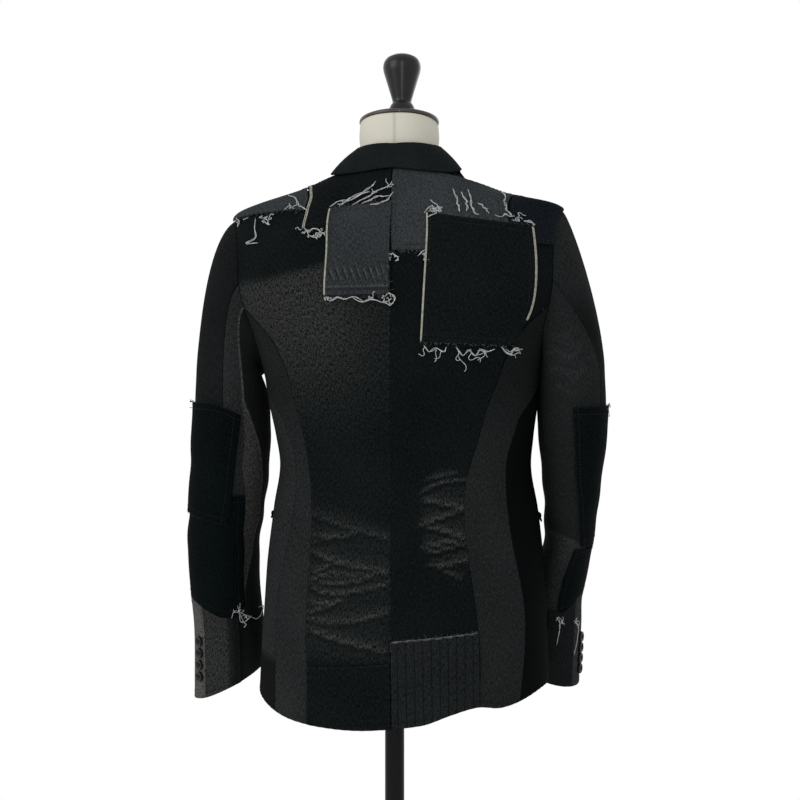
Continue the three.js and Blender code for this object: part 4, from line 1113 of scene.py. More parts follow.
# Most of these points, too, are numbers that a scratch program printed: see report.md.
LONG_THREADS = {
    "shoulder_patch_left": [[(69, 1381), (66, 1353), (69.5, 1346), (64, 1344)],
                            [(65, 1380), (62, 1368), (64.5, 1373)],
                            [(66, 1412), (57.5, 1402), (53, 1391), (49, 1383)],
                            [(79.5, 1392), (77, 1381), (77, 1374)]],
    "yoke_patch_left": [[(46.5, 1358), (43, 1347), (39.5, 1346), (35.5, 1351)],
                        [(44.5, 1352), (42, 1355), (38, 1351), (35.5, 1345)]],
    "centre_patch_left": [[(37.5, 1383), (33, 1389), (26.5, 1389), (21, 1395), (14, 1398)],
                          [(24.5, 1382), (16, 1391), (6.5, 1399), (-3, 1406)],
                          [(18, 1383), (9, 1390), (-1, 1391)],
                          [(32, 1382), (26, 1393), (16, 1401), (11, 1411)],
                          [(12.5, 1381), (2.5, 1384), (-4, 1396)],
                          [(34, 1273), (32, 1267), (28.5, 1272), (24.5, 1268), (19.5, 1272),
                           (14.5, 1266)],
                          [(20.5, 1271), (15, 1265), (8, 1268), (2, 1264), (-2.5, 1269)],
                          [(-0.5, 1276), (-4, 1270), (-1.5, 1261), (3, 1266)]],
    "yoke_patch_right": [[(-3, 1322), (-7, 1316), (-5, 1312)],
                         [(-18, 1318), (-22, 1324), (-25, 1317), (-21, 1313), (-27, 1312)],
                         [(-21.5, 1322), (-24.5, 1318), (-25, 1311), (-22.5, 1312)]],
    "big_patch_right": [[(-28.5, 1387), (-32, 1379), (-33.5, 1371)],
                        [(-43, 1404), (-42.5, 1386), (-42, 1371)],
                        [(-46, 1399), (-46.5, 1384), (-45, 1372)],
                        [(-50, 1404), (-48.5, 1386), (-48, 1372), (-49.5, 1368)],
                        [(-51, 1385), (-53, 1378), (-53.5, 1370)],
                        [(-63, 1404), (-60.5, 1383), (-61, 1368)],
                        [(-64.5, 1363), (-67, 1362), (-67.5, 1358)],
                        [(-23.5, 1369), (-28.5, 1379), (-30, 1370), (-25.5, 1364)],
                        [(-20, 1215), (-23, 1207), (-26.5, 1212), (-30.5, 1207), (-32, 1213)],
                        [(-36.5, 1213), (-40, 1203), (-42.5, 1210), (-45.5, 1203), (-47.5, 1211)],
                        [(-47, 1211), (-50.5, 1208), (-53.5, 1211)],
                        [(-56, 1214), (-60, 1206), (-62, 1213), (-64.5, 1208)]],
}


def dress_edges(name, frayed, self_edges, edge_of, ground, lift, curl_heads, long_threads,
                settings, degree):
    """Fibres, self-edges, stitches and loose threads of one patch, as pieces that go with it."""
    pieces = []
    seed = sum(map(ord, name))
    if frayed:
        spacing, length = settings.fray_spacing * 1000, settings.fray * 1000
        down = {"bottom": -1, "top": 1, "rear": 0.15, "fore": 0.15}
        on_sleeve = degree == SLEEVE_DEGREE
        if on_sleeve:
            length *= 0.6
        fibres = [fringe(ground, edge_of(which), down[which], length, spacing, lift - 0.4,
                         seed + k, degree) for k, which in enumerate(frayed)]
        pieces.append(tubes(f"{name}_fray", np.concatenate(fibres), 0.2,
                            finish_of("black_thread" if on_sleeve else "grey_fray"), 3))
    if self_edges:
        bands = []
        for which in self_edges:
            for inset in (0.004, 0.017 if name.startswith("yoke") else 0.012):
                a, h = (np.asarray(c) for c in zip(*edge_of(which, 80, inset)))
                start = SELF_EDGE_FROM.get((name, which), 0.0)
                share = mix(start, 1.0, np.linspace(0, 1, 60)) * 79
                a, h = np.interp(share, range(80), a), np.interp(share, range(80), h)
                bands.append(ground(a, h, lift + 0.25))
        pieces.append(tubes(f"{name}_self_edge", np.stack(bands), 0.75, finish_of("edge_cotton"),
                            8))
    rows = [stitches(ground, edge_of(which, 40, 0.05), STITCH, 3.9, lift + 0.05, degree)
            for which in ("bottom", "top", "rear", "fore")]
    pieces.append(tubes(f"{name}_stitches", np.concatenate(rows), STITCH_RADIUS,
                        finish_of("black_thread"), 4))
    loose = [curls(ground, (a, h), count, heading, length, swing, lift + 0.4, seed + 31 * k, degree)
             for k, (a, h, count, heading, length, swing) in enumerate(curl_heads)]
    loose += [laid(ground, knots, lift + 0.5, wobble=wobble, seed=seed + k + int(100 * wobble))[None]
              for k, knots in enumerate(long_threads) for wobble in (0.5, 1.3)]
    if loose:
        pieces.append(tubes(f"{name}_threads", np.concatenate(loose), settings.thread * 1000,
                            finish_of("white_cotton")))
    return pieces


class JACKET_OT_back_patches(bpy.types.Operator):
    """Six patches laid on the shoulders and the back, with their frayed edges and loose threads"""
    bl_idname = "jacket.back_patches"
    bl_label = "Back patches"

    def execute(self, context):
        jacket = context.scene.jacket
        for name, patch in PATCHES.items():
            chart = lambda u, v: patch_chart(patch, u, v)
            ridge = lambda angle, height: RIDGE_LIFT * step(1388, 1408, height)
            lift = patch["lift"] + PATCH_WALL
            # the centre patch gets painted highlights and shade of its old hem's puckers
            fade = hem_shading if name == "centre_patch_left" else None
            piece = body_cloth(f"cloth_{name}", chart, *patch["size"], lift, PATCH_WALL,
                               finish_of(patch["finish"]), fade, jacket.pucker * 1000, ridge)
            ground = lambda a, h, extra: ground_body(a, h, extra + ridge(a, h))
            with_it = dress_edges(name, FRAYED[name], SELF_EDGES.get(name, []),
                                  lambda *where: chart_edge(chart, *where), ground, lift,
                                  CURLS.get(name, []), LONG_THREADS.get(name, []), jacket,
                                  BODY_DEGREE)
            declare(name)
        return {"FINISHED"}


def hem_shading(angle, height):
    """Painted highlights and shade of the puckers an old hem left: slanting bright strokes with dark
    shade beside them, as bells across a slope in a band above the hem line, and a bright hem line with a
    dark line under it.
    """
    band = hump(1299, 8.5, height)
    place = (angle * 3.2 - (height - 1299) * 0.55) / 11.6
    gap = place - np.floor(place) - 0.5
    # painted highlight on the hem line, painted shade just under it
    line = 0.5 * hump(1283.5, 1.2, height) - 0.4 * hump(1281, 1.4, height)
    return np.clip(band * (0.75 * np.exp(-(gap / 0.13) ** 2) - 0.5 * np.exp(-((gap - 0.3) / 0.14) ** 2))
                   + line - 0.1, -1, 1)


HEM_BLOCKS = {"left": (844, 833, "black_denim", "black_denim"),
              "right": (867, 877, "pinstripe_denim", "pinstripe_denim")}


def hem_block_chart(name, side, top_centre, top_seam, u, v):
    """Angle and height from the centre back to the back seam, above the hem."""
    seam = curve(BACK_SEAM[name], mix(790, top_seam, v)) - 0.4
    centre = side * curve(CENTRE_SEAM, mix(790, top_centre, v))
    angle = mix(centre + 0.4, seam, u)
    return side * angle, mix(curve(HEM, side * angle) + 0.8, mix(top_centre, top_seam, u), v)


class JACKET_OT_hem_blocks(bpy.types.Operator):
    """A black block and a pinstriped one let onto the hem, each stitched along its top; the pinstriped
    one has a cord and frayed fibres there
    """
    bl_idname = "jacket.hem_blocks"
    bl_label = "Hem blocks"

    def execute(self, context):
        jacket = context.scene.jacket
        for name, side in SIDES.items():
            top_centre, top_seam, finish, slot = HEM_BLOCKS[name]
            chart = lambda u, v: hem_block_chart(name, side, top_centre, top_seam, u, v)
            lift = PATCH_LIFT + PATCH_WALL
            piece = body_cloth(f"cloth_hem_block_{name}", chart, 60, 50, lift, PATCH_WALL,
                               finish_of(finish), None, jacket.pucker * 1000)
            u = np.linspace(0, 1, 40)
            edge = list(zip(*chart(u, 0 * u + 0.985)))
            with_it = [tubes(f"hem_block_{name}_stitches",
                             stitches(ground_body, edge, STITCH, 3.6, lift + 0.1), STITCH_RADIUS,
                             finish_of("black_thread"), 4)]
            if name == "right":
                a, h = chart(u, 0 * u + 1.0)
                cord = np.stack([ground_body(a, h + drop, lift - 0.3) for drop in (-0.4, 0.7)])
                with_it.append(tubes(f"hem_block_{name}_piping", cord, 0.55, finish_of("grey_fray"),
                                     8))
                fibres = fringe(ground_body, list(zip(a, h)), 1, 2.2, 1.0, lift - 0.4, 5)
                with_it.append(tubes(f"hem_block_{name}_fray", fibres, 0.2, finish_of("grey_fray"),
                                     3))
            declare(f"hem_block_{name}")
        return {"FINISHED"}


WELT_FROM, WELT_TO, WELT_TOP, WELT_DROP = 86, 130, 1004, 9


class JACKET_OT_welts(bpy.types.Operator):
    """Two hip pocket welts: narrow bands whose middle sinks into the pocket's slit"""
    bl_idname = "jacket.welts"
    bl_label = "Pocket welts"

    def execute(self, context):
        for name, side in SIDES.items():
            def chart(u, v):
                """Angle along the welt and height up it, rounded off at both ends."""
                end = np.clip(np.minimum(u, 1 - u) / 0.05, 0, 1)
                pinch = 0.5 * (1 - np.sqrt(1 - (1 - end) ** 2))
                return (side * mix(WELT_FROM, WELT_TO, u),
                        WELT_TOP - WELT_DROP * mix(pinch, 1 - pinch, 1 - v))
            lift = PATCH_LIFT + WALL
            slit = lambda angle, height: -1.1 * hump(WELT_TOP - 4.5, 1.6, height)
            piece = body_cloth(f"cloth_pocket_welt_{name}", chart, 90, 26, lift, WALL,
                               finish_of("deep_denim"), None, 0.1, slit)
            declare(f"pocket_welt_{name}")
        return {"FINISHED"}


COLLAR_END = 128
FOLD_HEIGHT = [(0, 1465), (45, 1468.5), (90, 1471), (128, 1451)]
FALL_EDGE = [(0, 1428), (45, 1430), (90, 1447), (115, 1429), (128, 1414)]
FALL_LIFT = 7.4


def fold_point(angle, inset=0.0):
    """The collar's fold: an ellipse round the neck, deeper behind, at the fold's height."""
    s, c = np.sin(np.radians(angle)), np.cos(np.radians(angle))
    depth = np.where(c >= 0, 66, 50) - inset
    return np.stack([(57 - inset) * s, depth * c, curve(FOLD_HEIGHT, np.abs(angle))], -1)


def collar_fall(u, v):
    """From the fold down to the fall's edge on the body, bulging by a half sine."""
    angle = mix(-COLLAR_END, COLLAR_END, u)
    edge = on_body(angle, curve(FALL_EDGE, np.abs(angle)), FALL_LIFT)
    fold = fold_point(angle)
    out = unit(np.stack([fold[..., 0], fold[..., 1], 30 + 0 * angle], -1))
    bulge = (3.2 - 2 * step(40, 80, np.abs(angle))) * np.sin(np.pi * v)
    ripple = 0.35 * np.sin(np.radians(angle) * 9) * v
    return mix(fold, edge, v[..., None]) + out * (bulge + ripple)[..., None]


def collar_stand(u, v):
    """From the neck seam up to just inside the fold."""
    angle = mix(-COLLAR_END, COLLAR_END, u)
    s, c = np.sin(np.radians(angle)), np.cos(np.radians(angle))
    front = step(100, COLLAR_END, np.abs(angle))
    base = np.stack([60.5 * s, np.where(c >= 0, 61, 43) * c, 1442 + 6 * s * s - 8 * front], -1)
    return mix(base, fold_point(angle, 2.6) - [0, 0, 1.5], v[..., None])


class JACKET_OT_collar(bpy.types.Operator):
    """Felted collar: the stand round the neck and the fall that turns down over the seam"""
    bl_idname = "jacket.collar"
    bl_label = "Collar"

    def execute(self, context):
        fall = cloth("cloth_collar_fall", collar_fall(*grid(160, 24)), WALL,
                     finish_of("collar_wool"), body_core(COLLAR_CORE_TOP))
        declare("collar_fall")
        stand = cloth("cloth_collar_stand", collar_stand(*grid(150, 16)), WALL,
                      finish_of("collar_wool"), body_core(math.inf))
        declare("collar_stand")
        return {"FINISHED"}


LAPEL_EDGE = [(0, 1106, -15), (0.25, 1168, 24), (0.5, 1236, 58), (0.75, 1306, 88), (1, 1372, 112)]
LAPEL_TOP, LAPEL_LIFT, LAPEL_WALL = 1436, 3.4, 1.8


def lapel_chart(side, u, v):
    """Angle and height from the roll out to the lapel's edge."""
    heights, widths = ([(row[0], row[k]) for row in LAPEL_EDGE] for k in (1, 2))
    roll = mix(ROLL_BOTTOM + 6, LAPEL_TOP, v)
    height = mix(roll, curve(heights, v), u)
    width = mix(front_edge_width(roll) + 0.5, curve(widths, v), u)
    return side * angle_at_width(width, height), height


class JACKET_OT_lapels(bpy.types.Operator):
    """Two notched lapels turned back along the roll, with stitches by their edges"""
    bl_idname = "jacket.lapels"
    bl_label = "Lapels"

    def execute(self, context):
        for name, side in SIDES.items():
            u, v = grid(40, 110)
            angle, height = lapel_chart(side, u, v)
            lift = (LAPEL_LIFT + 3 * np.sin(np.pi * u) * step(0, 0.3, v)
                    + over_lift(side, angle, height))
            piece = cloth(f"cloth_lapel_{name}", on_body(angle, height, lift), LAPEL_WALL,
                          finish_of("black_denim"), body_core(BODY_CORE_TOP))
            t = np.linspace(0.04, 0.98, 70)
            a, h = lapel_chart(side, 0 * t + 0.95, t)
            ground = lambda p, q, extra: on_body(p, q, extra + over_lift(side, p, q))
            rows = stitches(ground, list(zip(a, h)), STITCH, 3.6, LAPEL_LIFT + 0.55)
            seam = tubes(f"lapel_{name}_stitches", rows, STITCH_RADIUS,
                         finish_of("black_thread"), 4)
            declare(f"lapel_{name}")
        return {"FINISHED"}


def arm_turns():
    """Turns round the armhole where the upper and the under sleeve begin and end."""
    fore = -armhole_turn(CHEST_LEVELS)
    upper = np.concatenate([fore, armhole_turn([1380, 1355, 1325, HEAD_SPLIT])])
    under = np.concatenate([armhole_turn([HEAD_SPLIT]),
                            mix(armhole_turn(SEAM_MEETS), 180.0, np.linspace(0, 1, 5)),
                            [360 + fore[0]]])
    for turns in (upper, under):
        turns[0] += SEAM_TURN_GAP
        turns[-1] -= SEAM_TURN_GAP
    return upper, under


def sleeve_surface(name, turns, tube_from, tube_to, u, v):
    """The head from the armhole to the biceps ring, then the tube down to the cuff."""
    at = v * (HEAD_ROWS + TUBE_ROWS)
    down = np.clip((at - HEAD_ROWS) / TUBE_ROWS, 0, 1)
    turn = mix(tube_from(down), tube_to(down), u)
    height = mix(BICEPS + BICEPS_TILT * np.cos(np.radians(turn)), cuff_height(name, turn), down)
    tube = on_tube(name, turn, height, sleeve_folds(turn, height) * step(0, 0.12, down))
    head = on_head(name, along(list(turns), u), turn, np.minimum(at / HEAD_ROWS, 1))
    return np.where((at > HEAD_ROWS)[..., None], tube, head), turn


def line_height(knots, turn):
    """Height of a seam line at each turn, through (turn, height) knots taken by rising turn."""
    return curve(sorted(knots), turn)


def right_sleeve_fade(turn, height):
    """Crinkled bars of wash round the back of the upper arm, as sines of height."""
    bars = 0.5 + 0.5 * np.sin(height / 4.6 + np.sin(turn / 14) * 1.8)
    return (0.05 * step(1262, 1330, height) - 0.5 * (1 - step(1235, 1290, height))
            + 0.2 * hump(1192, 34, height) * bars * hump(60, 30, turn))


def left_sleeve_fade(turn, height):
    """The upper sleeve darkens down the outside of the arm."""
    return 0.10 * hump(1180, 50, height) * hump(90, 40, turn) - 0.36


STRIP_FORE = [(897, 139.5), (957, 161.5), (991, 168.5), (1032, 166), (1085, 154.5), (1150, 126.5)]
STRIP_REAR = [(840, 118), (1022, 134.5), (1061, 125.5), (1099, 127.5), (1150, 124)]
RIGHT_SEAM = [(63.5, 963), (94, 975), (133, 980), (178, 982)]


def left_under_wash_and_shade(turn, height):
    """A speckled washed strip between two slanting lines of turn by height, a bright line along its fore
    edge, and painted shade past that edge, where the under sleeve turns in towards the body, and below
    the strip.
    """
    fore, rear = curve(STRIP_FORE, height), curve(STRIP_REAR, height)
    strip = step(-2, 2, turn - rear) * (1 - step(-1.5, 1.5, turn - fore))
    strip = strip * step(868, 900, height)
    seam = 0.75 * np.exp(-(((turn - fore) / 1.5) ** 2)) * step(880, 905, height)
    # painted shade past the fore edge, where the under sleeve turns in towards the body, and below the
    # strip
    dark = np.maximum(step(-1.5, 1.5, turn - fore), 1 - step(868, 900, height))
    return 0.36 * strip + seam - 0.62 * dark * (1 - 0.4 * strip)


def right_under_fade(turn, height):
    """Crinkled wash at the top; dark down to a slanting seam; upright stripes below, as sines."""
    bars = 0.5 + 0.5 * np.sin(height / 3.6 + np.sin(turn / 11) * 2.2 + turn / 19)
    crinkle = hump(1196, 40, height) * (0.02 + 0.24 * bars ** 2) * hump(95, 50, turn)
    below = height - line_height(RIGHT_SEAM, turn)
    stripes = 0.5 + 0.5 * np.sin(turn * 1.5)
    return (-0.42 * step(-2, 2, below) + 0.28 * np.exp(-((below / 1.6) ** 2)) + crinkle
            + 0.08 * step(1150, 1175, height)
            + 0.12 * stripes * (1 - step(-2, 2, below)) * (1 - step(120, 150, turn)))


# washes of the sleeves; the left under sleeve's also paints shade towards the body
SLEEVE_WASH_AND_SHADE = {("upper", "left"): left_sleeve_fade, ("upper", "right"): right_sleeve_fade,
               ("under", "left"): left_under_wash_and_shade, ("under", "right"): right_under_fade}


class JACKET_OT_sleeves(bpy.types.Operator):
    """Two-piece sleeves: an upper and an under piece each, set into the armholes"""
    bl_idname = "jacket.sleeves"
    bl_label = "Sleeves"

    def execute(self, context):
        upper_turns, under_turns = arm_turns()
        for name in SIDES:
            hind = lambda down: curve(HIND_SEAM[name], down)
            parts = {
                "upper": (upper_turns, lambda down: FORE_TURN + SEAM_TURN_GAP + 0 * down,
                          lambda down: hind(down) - SEAM_TURN_GAP, (70, 200), "charcoal_denim"),
                "under": (under_turns, lambda down: hind(down) + SEAM_TURN_GAP,
                          lambda down: 360 + FORE_TURN - SEAM_TURN_GAP + 0 * down, (150, 220),
                          "grey_denim"),
            }
            for part, (turns, start, end, size, slot) in parts.items():
                points, turn = sleeve_surface(name, turns, start, end, *grid(*size))
                fade = SLEEVE_WASH_AND_SHADE[part, name](turn, points[..., 2])
                piece = cloth(f"cloth_sleeve_{part}_{name}", points, WALL, finish_of(slot),
                              sleeve_core(name), fade)
                declare(f"sleeve_{part}_{name}")
        return {"FINISHED"}


BLOCK_HEM = {"left": [(-60, 890), (33, 885), (70, 873), (97, 863), (124, 867), (136, 880)],
             "right": [(-60, 900), (22, 897), (60, 884), (80, 874), (118, 880)]}
ELBOW = {"left": ([-60, 109, 113, 121], [(-60, 1147), (80, 1145), (121, 1131)],
                  [(-60, 1003), (40, 1003), (110, 990)]),
         "right": ([-60, 66, 88, 95], [(-60, 1143), (95, 1141)], [(-60, 964), (72, 964)])}
BLOCK = {"left": ([-60, 135, 139, 130], 1027), "right": ([-60, 90, 91, 81], 960)}
VENT = {"left": (-10, 61.5), "right": (-14, 48.5)}
CUFF = {"left": (63, 121), "right": (50, 108)}


def sleeve_patch_chart(turns, low, high, u, v):
    """Turn and height between two edges; the far edge leans from its lower turn to its upper."""
    turn = mix(turns[0], along(turns[1:], v), u)
    return turn, mix(low(turn), high(turn), v)


def sleeve_patches(name):
    """The four blocks of one lower sleeve: chart, size, lift and finishes, by name."""
    turns, top, hem = ELBOW[name]
    block_turns, block_top = BLOCK[name]
    below_block = lambda turn: curve(BLOCK_HEM[name], turn) - 1.8
    above_cuff = lambda turn: cuff_height(name, turn) + 1
    flat = lambda v: SLEEVE_LIFT + PATCH_WALL + 0 * v
    elbow_lift = flat if name == "right" else (
        lambda v: mix(SLEEVE_OVERLAP, SLEEVE_LIFT, step(0.25, 0.5, v)) + PATCH_WALL)
    return {
        "elbow_patch": (turns, lambda t: curve(hem, t), lambda t: curve(top, t), (70, 60), elbow_lift,
                        "deep_denim", "black_denim", ["top", "bottom"]),
        "lower_block": (block_turns, lambda t: curve(BLOCK_HEM[name], t),
                        lambda t: block_top + 0 * t, (66, 50), flat, "deep_denim", "black_denim", []),
        "vent_strip": ([VENT[name][0], VENT[name][1], VENT[name][1]], above_cuff, below_block,
                       (24, 56), flat, "pale_denim", "grey_denim", []),
        "cuff_block": ([CUFF[name][0], CUFF[name][1], CUFF[name][1]], above_cuff, below_block,
                       (40, 56), flat, CUFF_FINISH[name], CUFF_FINISH[name], []),
    }


SLEEVE_CURLS = {
    ("left", "lower_block"): [(122, 872, 4, 290, 15, 1.2), (126, 860, 3, 340, 12, 1.6)],
    ("right", "lower_block"): [(86, 868, 3, 270, 16, 1.0), (44, 858, 3, 270, 16, 1.2)],
    ("right", "elbow_patch"): [(14, 1144, 3, 350, 10, 1.7), (20, 1136, 2, 300, 10, 1.5)],
}
# Most of these points, too, are numbers that a scratch program printed: see report.md.
SLEEVE_THREADS = {
    ("left", "lower_block"): [[(126.5, 881), (122.5, 857), (129, 854), (143, 861)],
                              [(122, 878), (126, 858), (131.5, 850), (127, 846)],
                              [(124, 868), (143, 858), (158.5, 856), (177.5, 868), (160, 870)]],
    ("right", "lower_block"): [[(91.5, 866), (83.5, 855), (87.5, 827)], [(82, 862), (74.5, 855)],
                               [(52.5, 859), (36.5, 843), (47.5, 809)]],
}


BLOCK_WASH = {
    ("left", "cuff_block"): lambda turn: 0.18 - 0.7 * step(98, 116, turn),
    ("left", "vent_strip"): lambda turn: 1.1 + 0 * turn,
    ("right", "vent_strip"): lambda turn: -0.2 + 0 * turn,
    ("right", "cuff_block"): lambda turn: -0.35 + 0 * turn,
}


class JACKET_OT_sleeve_blocks(bpy.types.Operator):
    """Elbow patches, lower blocks, cuff blocks and vent strips with their frayed edges"""
    bl_idname = "jacket.sleeve_blocks"
    bl_label = "Sleeve blocks"

    def execute(self, context):
        jacket = context.scene.jacket
        for name in SIDES:
            for block, spec in sleeve_patches(name).items():
                turns, low, high, size, lift, finish, slot, frayed = spec
                chart = lambda u, v: sleeve_patch_chart(turns, low, high, u, v)
                wash = BLOCK_WASH.get((name, block))
                speckle = None if wash is None else (lambda t, h: wash(t) + 0 * h)
                piece = sleeve_cloth(f"cloth_{block}_{name}", name, chart, *size, lift,
                                     finish_of(finish), speckle, jacket.pucker * 1000)
                with_it = dress_edges(f"{block}_{name}", frayed, [],
                                      lambda *where: chart_edge(chart, *where),
                                      ground_sleeve(name), float(lift(np.float64(0.0))),
                                      SLEEVE_CURLS.get((name, block), []),
                                      SLEEVE_THREADS.get((name, block), []), jacket,
                                      SLEEVE_DEGREE)
                declare(f"{block}_{name}")
        return {"FINISHED"}


def turned(profile, corner=0.8, steps=4):
    """A (radius, height) outline whose corners are rounded by quadratic arcs."""
    points = np.asarray(profile, float)
    out = [points[:1]]
    for before, here, after in zip(points[:-2], points[1:-1], points[2:]):
        a, b = before - here, after - here
        reach = [min(corner, 0.45 * np.linalg.norm(side)) for side in (a, b)]
        start, end = here + unit(a) * reach[0], here + unit(b) * reach[1]
        t = np.linspace(0, 1, steps)[:, None]
        out.append((1 - t) ** 2 * start + 2 * t * (1 - t) * here + t * t * end)
    return np.concatenate(out + [points[-1:]])


def ringed(name, rings, tips, material):
    """Rings of points joined one to the next, each end ring closed by a fan to its tip."""
    high, wide = rings.shape[:2]
    points = np.concatenate([rings.reshape(-1, 3), tips])
    quads = grid_faces(wide, high, closed=True)
    at = np.arange(wide)
    after = (at + 1) % wide
    last = (high - 1) * wide
    caps = np.concatenate([np.stack([after, at, 0 * at + len(points) - 2], -1),
                           np.stack([last + at, last + after, 0 * at + len(points) - 1], -1)])
    facing = outward(points, quads)
    if facing is not quads:
        caps = caps[:, ::-1]
    return new_mixed(name, points, facing, caps, material)


def lathe(name, profile, material, segments=96, centre=(0.0, 0.0), corner=0.8):
    """The outline carried round the upright axis through centre, from axis to axis."""
    outline = turned(profile, corner)
    body = outline[1:-1]
    turn = np.linspace(0, 2 * np.pi, segments, endpoint=False)
    rings = np.stack([body[:, :1] * np.cos(turn) + centre[0], body[:, :1] * np.sin(turn) + centre[1],
                      np.repeat(body[:, 1:], segments, 1)], -1)
    tips = [[*centre, outline[0, 1]], [*centre, outline[-1, 1]]]
    return ringed(name, rings, tips, material)


def button(name, place, normal, radius, thickness):
    """A dished disc: height by a profile of the radius, less four bell-shaped holes, and a cross
    of thread through them."""
    normal = unit(normal)
    side = unit(np.cross(normal, [0.0, 0.0, 1.0]))
    up = np.cross(side, normal)
    rho = np.concatenate([np.linspace(0, 0.99, 26), [1.0, 1.0, 0.97]])
    face = [(0, 0.72), (0.45, 0.7), (0.62, 0.82), (0.78, 1.0), (0.9, 0.97), (1, 0.7)]
    rise_up = np.concatenate([curve(face, rho[:26]), [0.6, 0.2, 0.0]]) * thickness
    turn = np.linspace(0, 2 * np.pi, 48, endpoint=False)
    x, y = rho[1:, None] * np.cos(turn), rho[1:, None] * np.sin(turn)
    holes = sum(hump(0, 0.085, np.hypot(x - a, y - b)) for a in (-0.2, 0.2) for b in (-0.2, 0.2))
    z = rise_up[1:, None] - 0.6 * thickness * holes * (rho[1:, None] < 0.5)
    rings = (place + radius * (x[..., None] * side + y[..., None] * up) + z[..., None] * normal)
    tips = [place + normal * rise_up[0], place]
    piece = ringed(f"disc_{name}", rings, tips, finish_of("button_horn"))
    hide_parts(name)
    t = np.linspace(-0.24, 0.24, 6)
    arch = 0.8 * thickness + 0.5 * np.cos(t / 0.24 * np.pi / 2)
    cross = np.stack([place + radius * (t[:, None] * (a * side + up)) + arch[:, None] * normal
                      for a in (-1, 1)])
    thread = tubes(f"{name}_thread", cross, 0.35, finish_of("black_thread"), 5)
    return piece, thread


BUTTON_RADIUS, BUTTON_THICKNESS = 7, 3
BUTTON_ROW = {"left": (50, 775, 16.5), "right": (24, 786, 15)}  # turn, lowest height, spacing
FRONT_BUTTONS, FRONT_RADIUS, FRONT_THICKNESS = [1035, 940], 11, 4


class JACKET_OT_buttons(bpy.types.Operator):
    """Four dished buttons on each vent strip and two larger ones down the front"""
    bl_idname = "jacket.buttons"
    bl_label = "Buttons"

    def execute(self, context):
        for name in SIDES:
            turn, lowest, spacing = BUTTON_ROW[name]
            for i in range(4):
                lift = SLEEVE_LIFT + PATCH_WALL + 0.8
                at, out = (on_tube(name, turn, lowest + i * spacing, lift + more)
                           for more in (0, 5))
                button(f"cuff_button_{name}_{i + 1}", at, out - at, BUTTON_RADIUS, BUTTON_THICKNESS)
        for i, height in enumerate(FRONT_BUTTONS):
            lift = float(over_lift(1, np.float64(180), height)) + 0.6
            at, out = (on_body(180.0, height, lift + more) for more in (0, 5))
            button(f"front_button_{i + 1}", at, out - at, FRONT_RADIUS, FRONT_THICKNESS)
        return {"FINISHED"}


FORM = [(850, 148, 98, 92), (862, 158, 106, 100), (900, 165, 104, 106), (950, 164, 94, 103),
        (1010, 158, 83, 98), (1065, 150, 77, 95), (1120, 152, 81, 97), (1190, 159, 92, 103),
        (1250, 170, 100, 107), (1300, 176, 102, 103), (1342, 177, 95, 88), (1368, 174, 84, 76),
        (1382, 162, 75, 64), (1393, 136, 69, 58), (1405, 104, 64, 54), (1419, 74, 59, 49),
        (1436, 53, 54, 39), (1452, 50, 56, 38.5), (1470, 50, 58, 40), (1488, 51.5, 59.5, 41.5),
        (1504.5, 50.5, 59.5, 42)]
NECK_CAP = [(0, 1505), (50.5, 1505), (51.6, 1507), (50.8, 1509.6), (47, 1511.4), (0, 1511.4)]
FINIAL = [(0, 1511.8), (18, 1511.8), (18, 1519), (17, 1524), (14.5, 1529.5), (12, 1532.5),
          (12.4, 1536), (16, 1548), (20, 1561), (23.4, 1572), (24.4, 1577.5), (23.8, 1583),
          (21, 1588), (14.5, 1591.8), (0, 1593.5)]
NECK_BACK = 9  # how far the neck's cap and finial stand behind the form's middle


class JACKET_OT_form(bpy.types.Operator):
    """Linen-covered torso and neck, the wooden neck cap and the lacquered finial"""
    bl_idname = "jacket.form"
    bl_label = "Dress form"

    def execute(self, context):
        columns, rows = 112, 190
        levels = np.linspace(FORM[0][0], FORM[-1][0], rows)
        half, back, front = (curve([(k[0], k[i]) for k in FORM], levels)[:, None] for i in (1, 2, 3))
        turn = np.linspace(0, 2 * np.pi, columns, endpoint=False)
        s, c = np.sin(turn), np.cos(turn)
        r = (np.abs(s / half) ** 2.2 + np.abs(c / np.where(c >= 0, back, front)) ** 2.2) ** (-1 / 2.2)
        x = r * s + curve(SWAY, levels)[:, None] * 0.6
        rings = np.stack([x, r * c, np.repeat(levels[:, None], columns, 1)], -1)
        caps = []
        for ring in (rings[0], rings[-1]):
            middle = ring.mean(0)
            caps.append(np.stack([mix(middle, ring, k) for k in (0.02, 0.4, 0.8, 0.985)]))
        surface = np.concatenate([caps[0], rings, caps[1][::-1]])
        points = surface.reshape(-1, 3)
        quads = outward(points, grid_faces(columns, len(surface), closed=True))
        uv = np.stack([points[:, 0] + points[:, 1], points[:, 2]], -1) / 1000
        piece = new_mesh("form_cover", points, quads, finish_of("form_linen"), None, uv, {
            "seam": np.minimum(np.abs(points[:, 0] - curve(SWAY, points[:, 2]) * 0.6) / 0.9, 1.0)})
        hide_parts("form_torso")
        cap = lathe("cap_of_neck", NECK_CAP, finish_of("cap_wood"), 96, (0.0, NECK_BACK), 1.0)
        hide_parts("neck_cap")
        knob = lathe("knob_of_neck", FINIAL, finish_of("lacquer"), 96, (-3.5, NECK_BACK), 1.5)
        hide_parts("finial")
        return {"FINISHED"}


FLANGE = [(0, 838.3), (22, 838.3), (23, 843), (46, 845), (46, 849.7), (0, 849.7)]
POLE = [(0, 26.3), (12.5, 26.3), (12.5, 838), (0, 838)]
BASE = [(0, 0), (170, 0), (172, 4), (166, 10), (110, 15), (40, 19), (24, 22), (18, 26), (0, 26)]


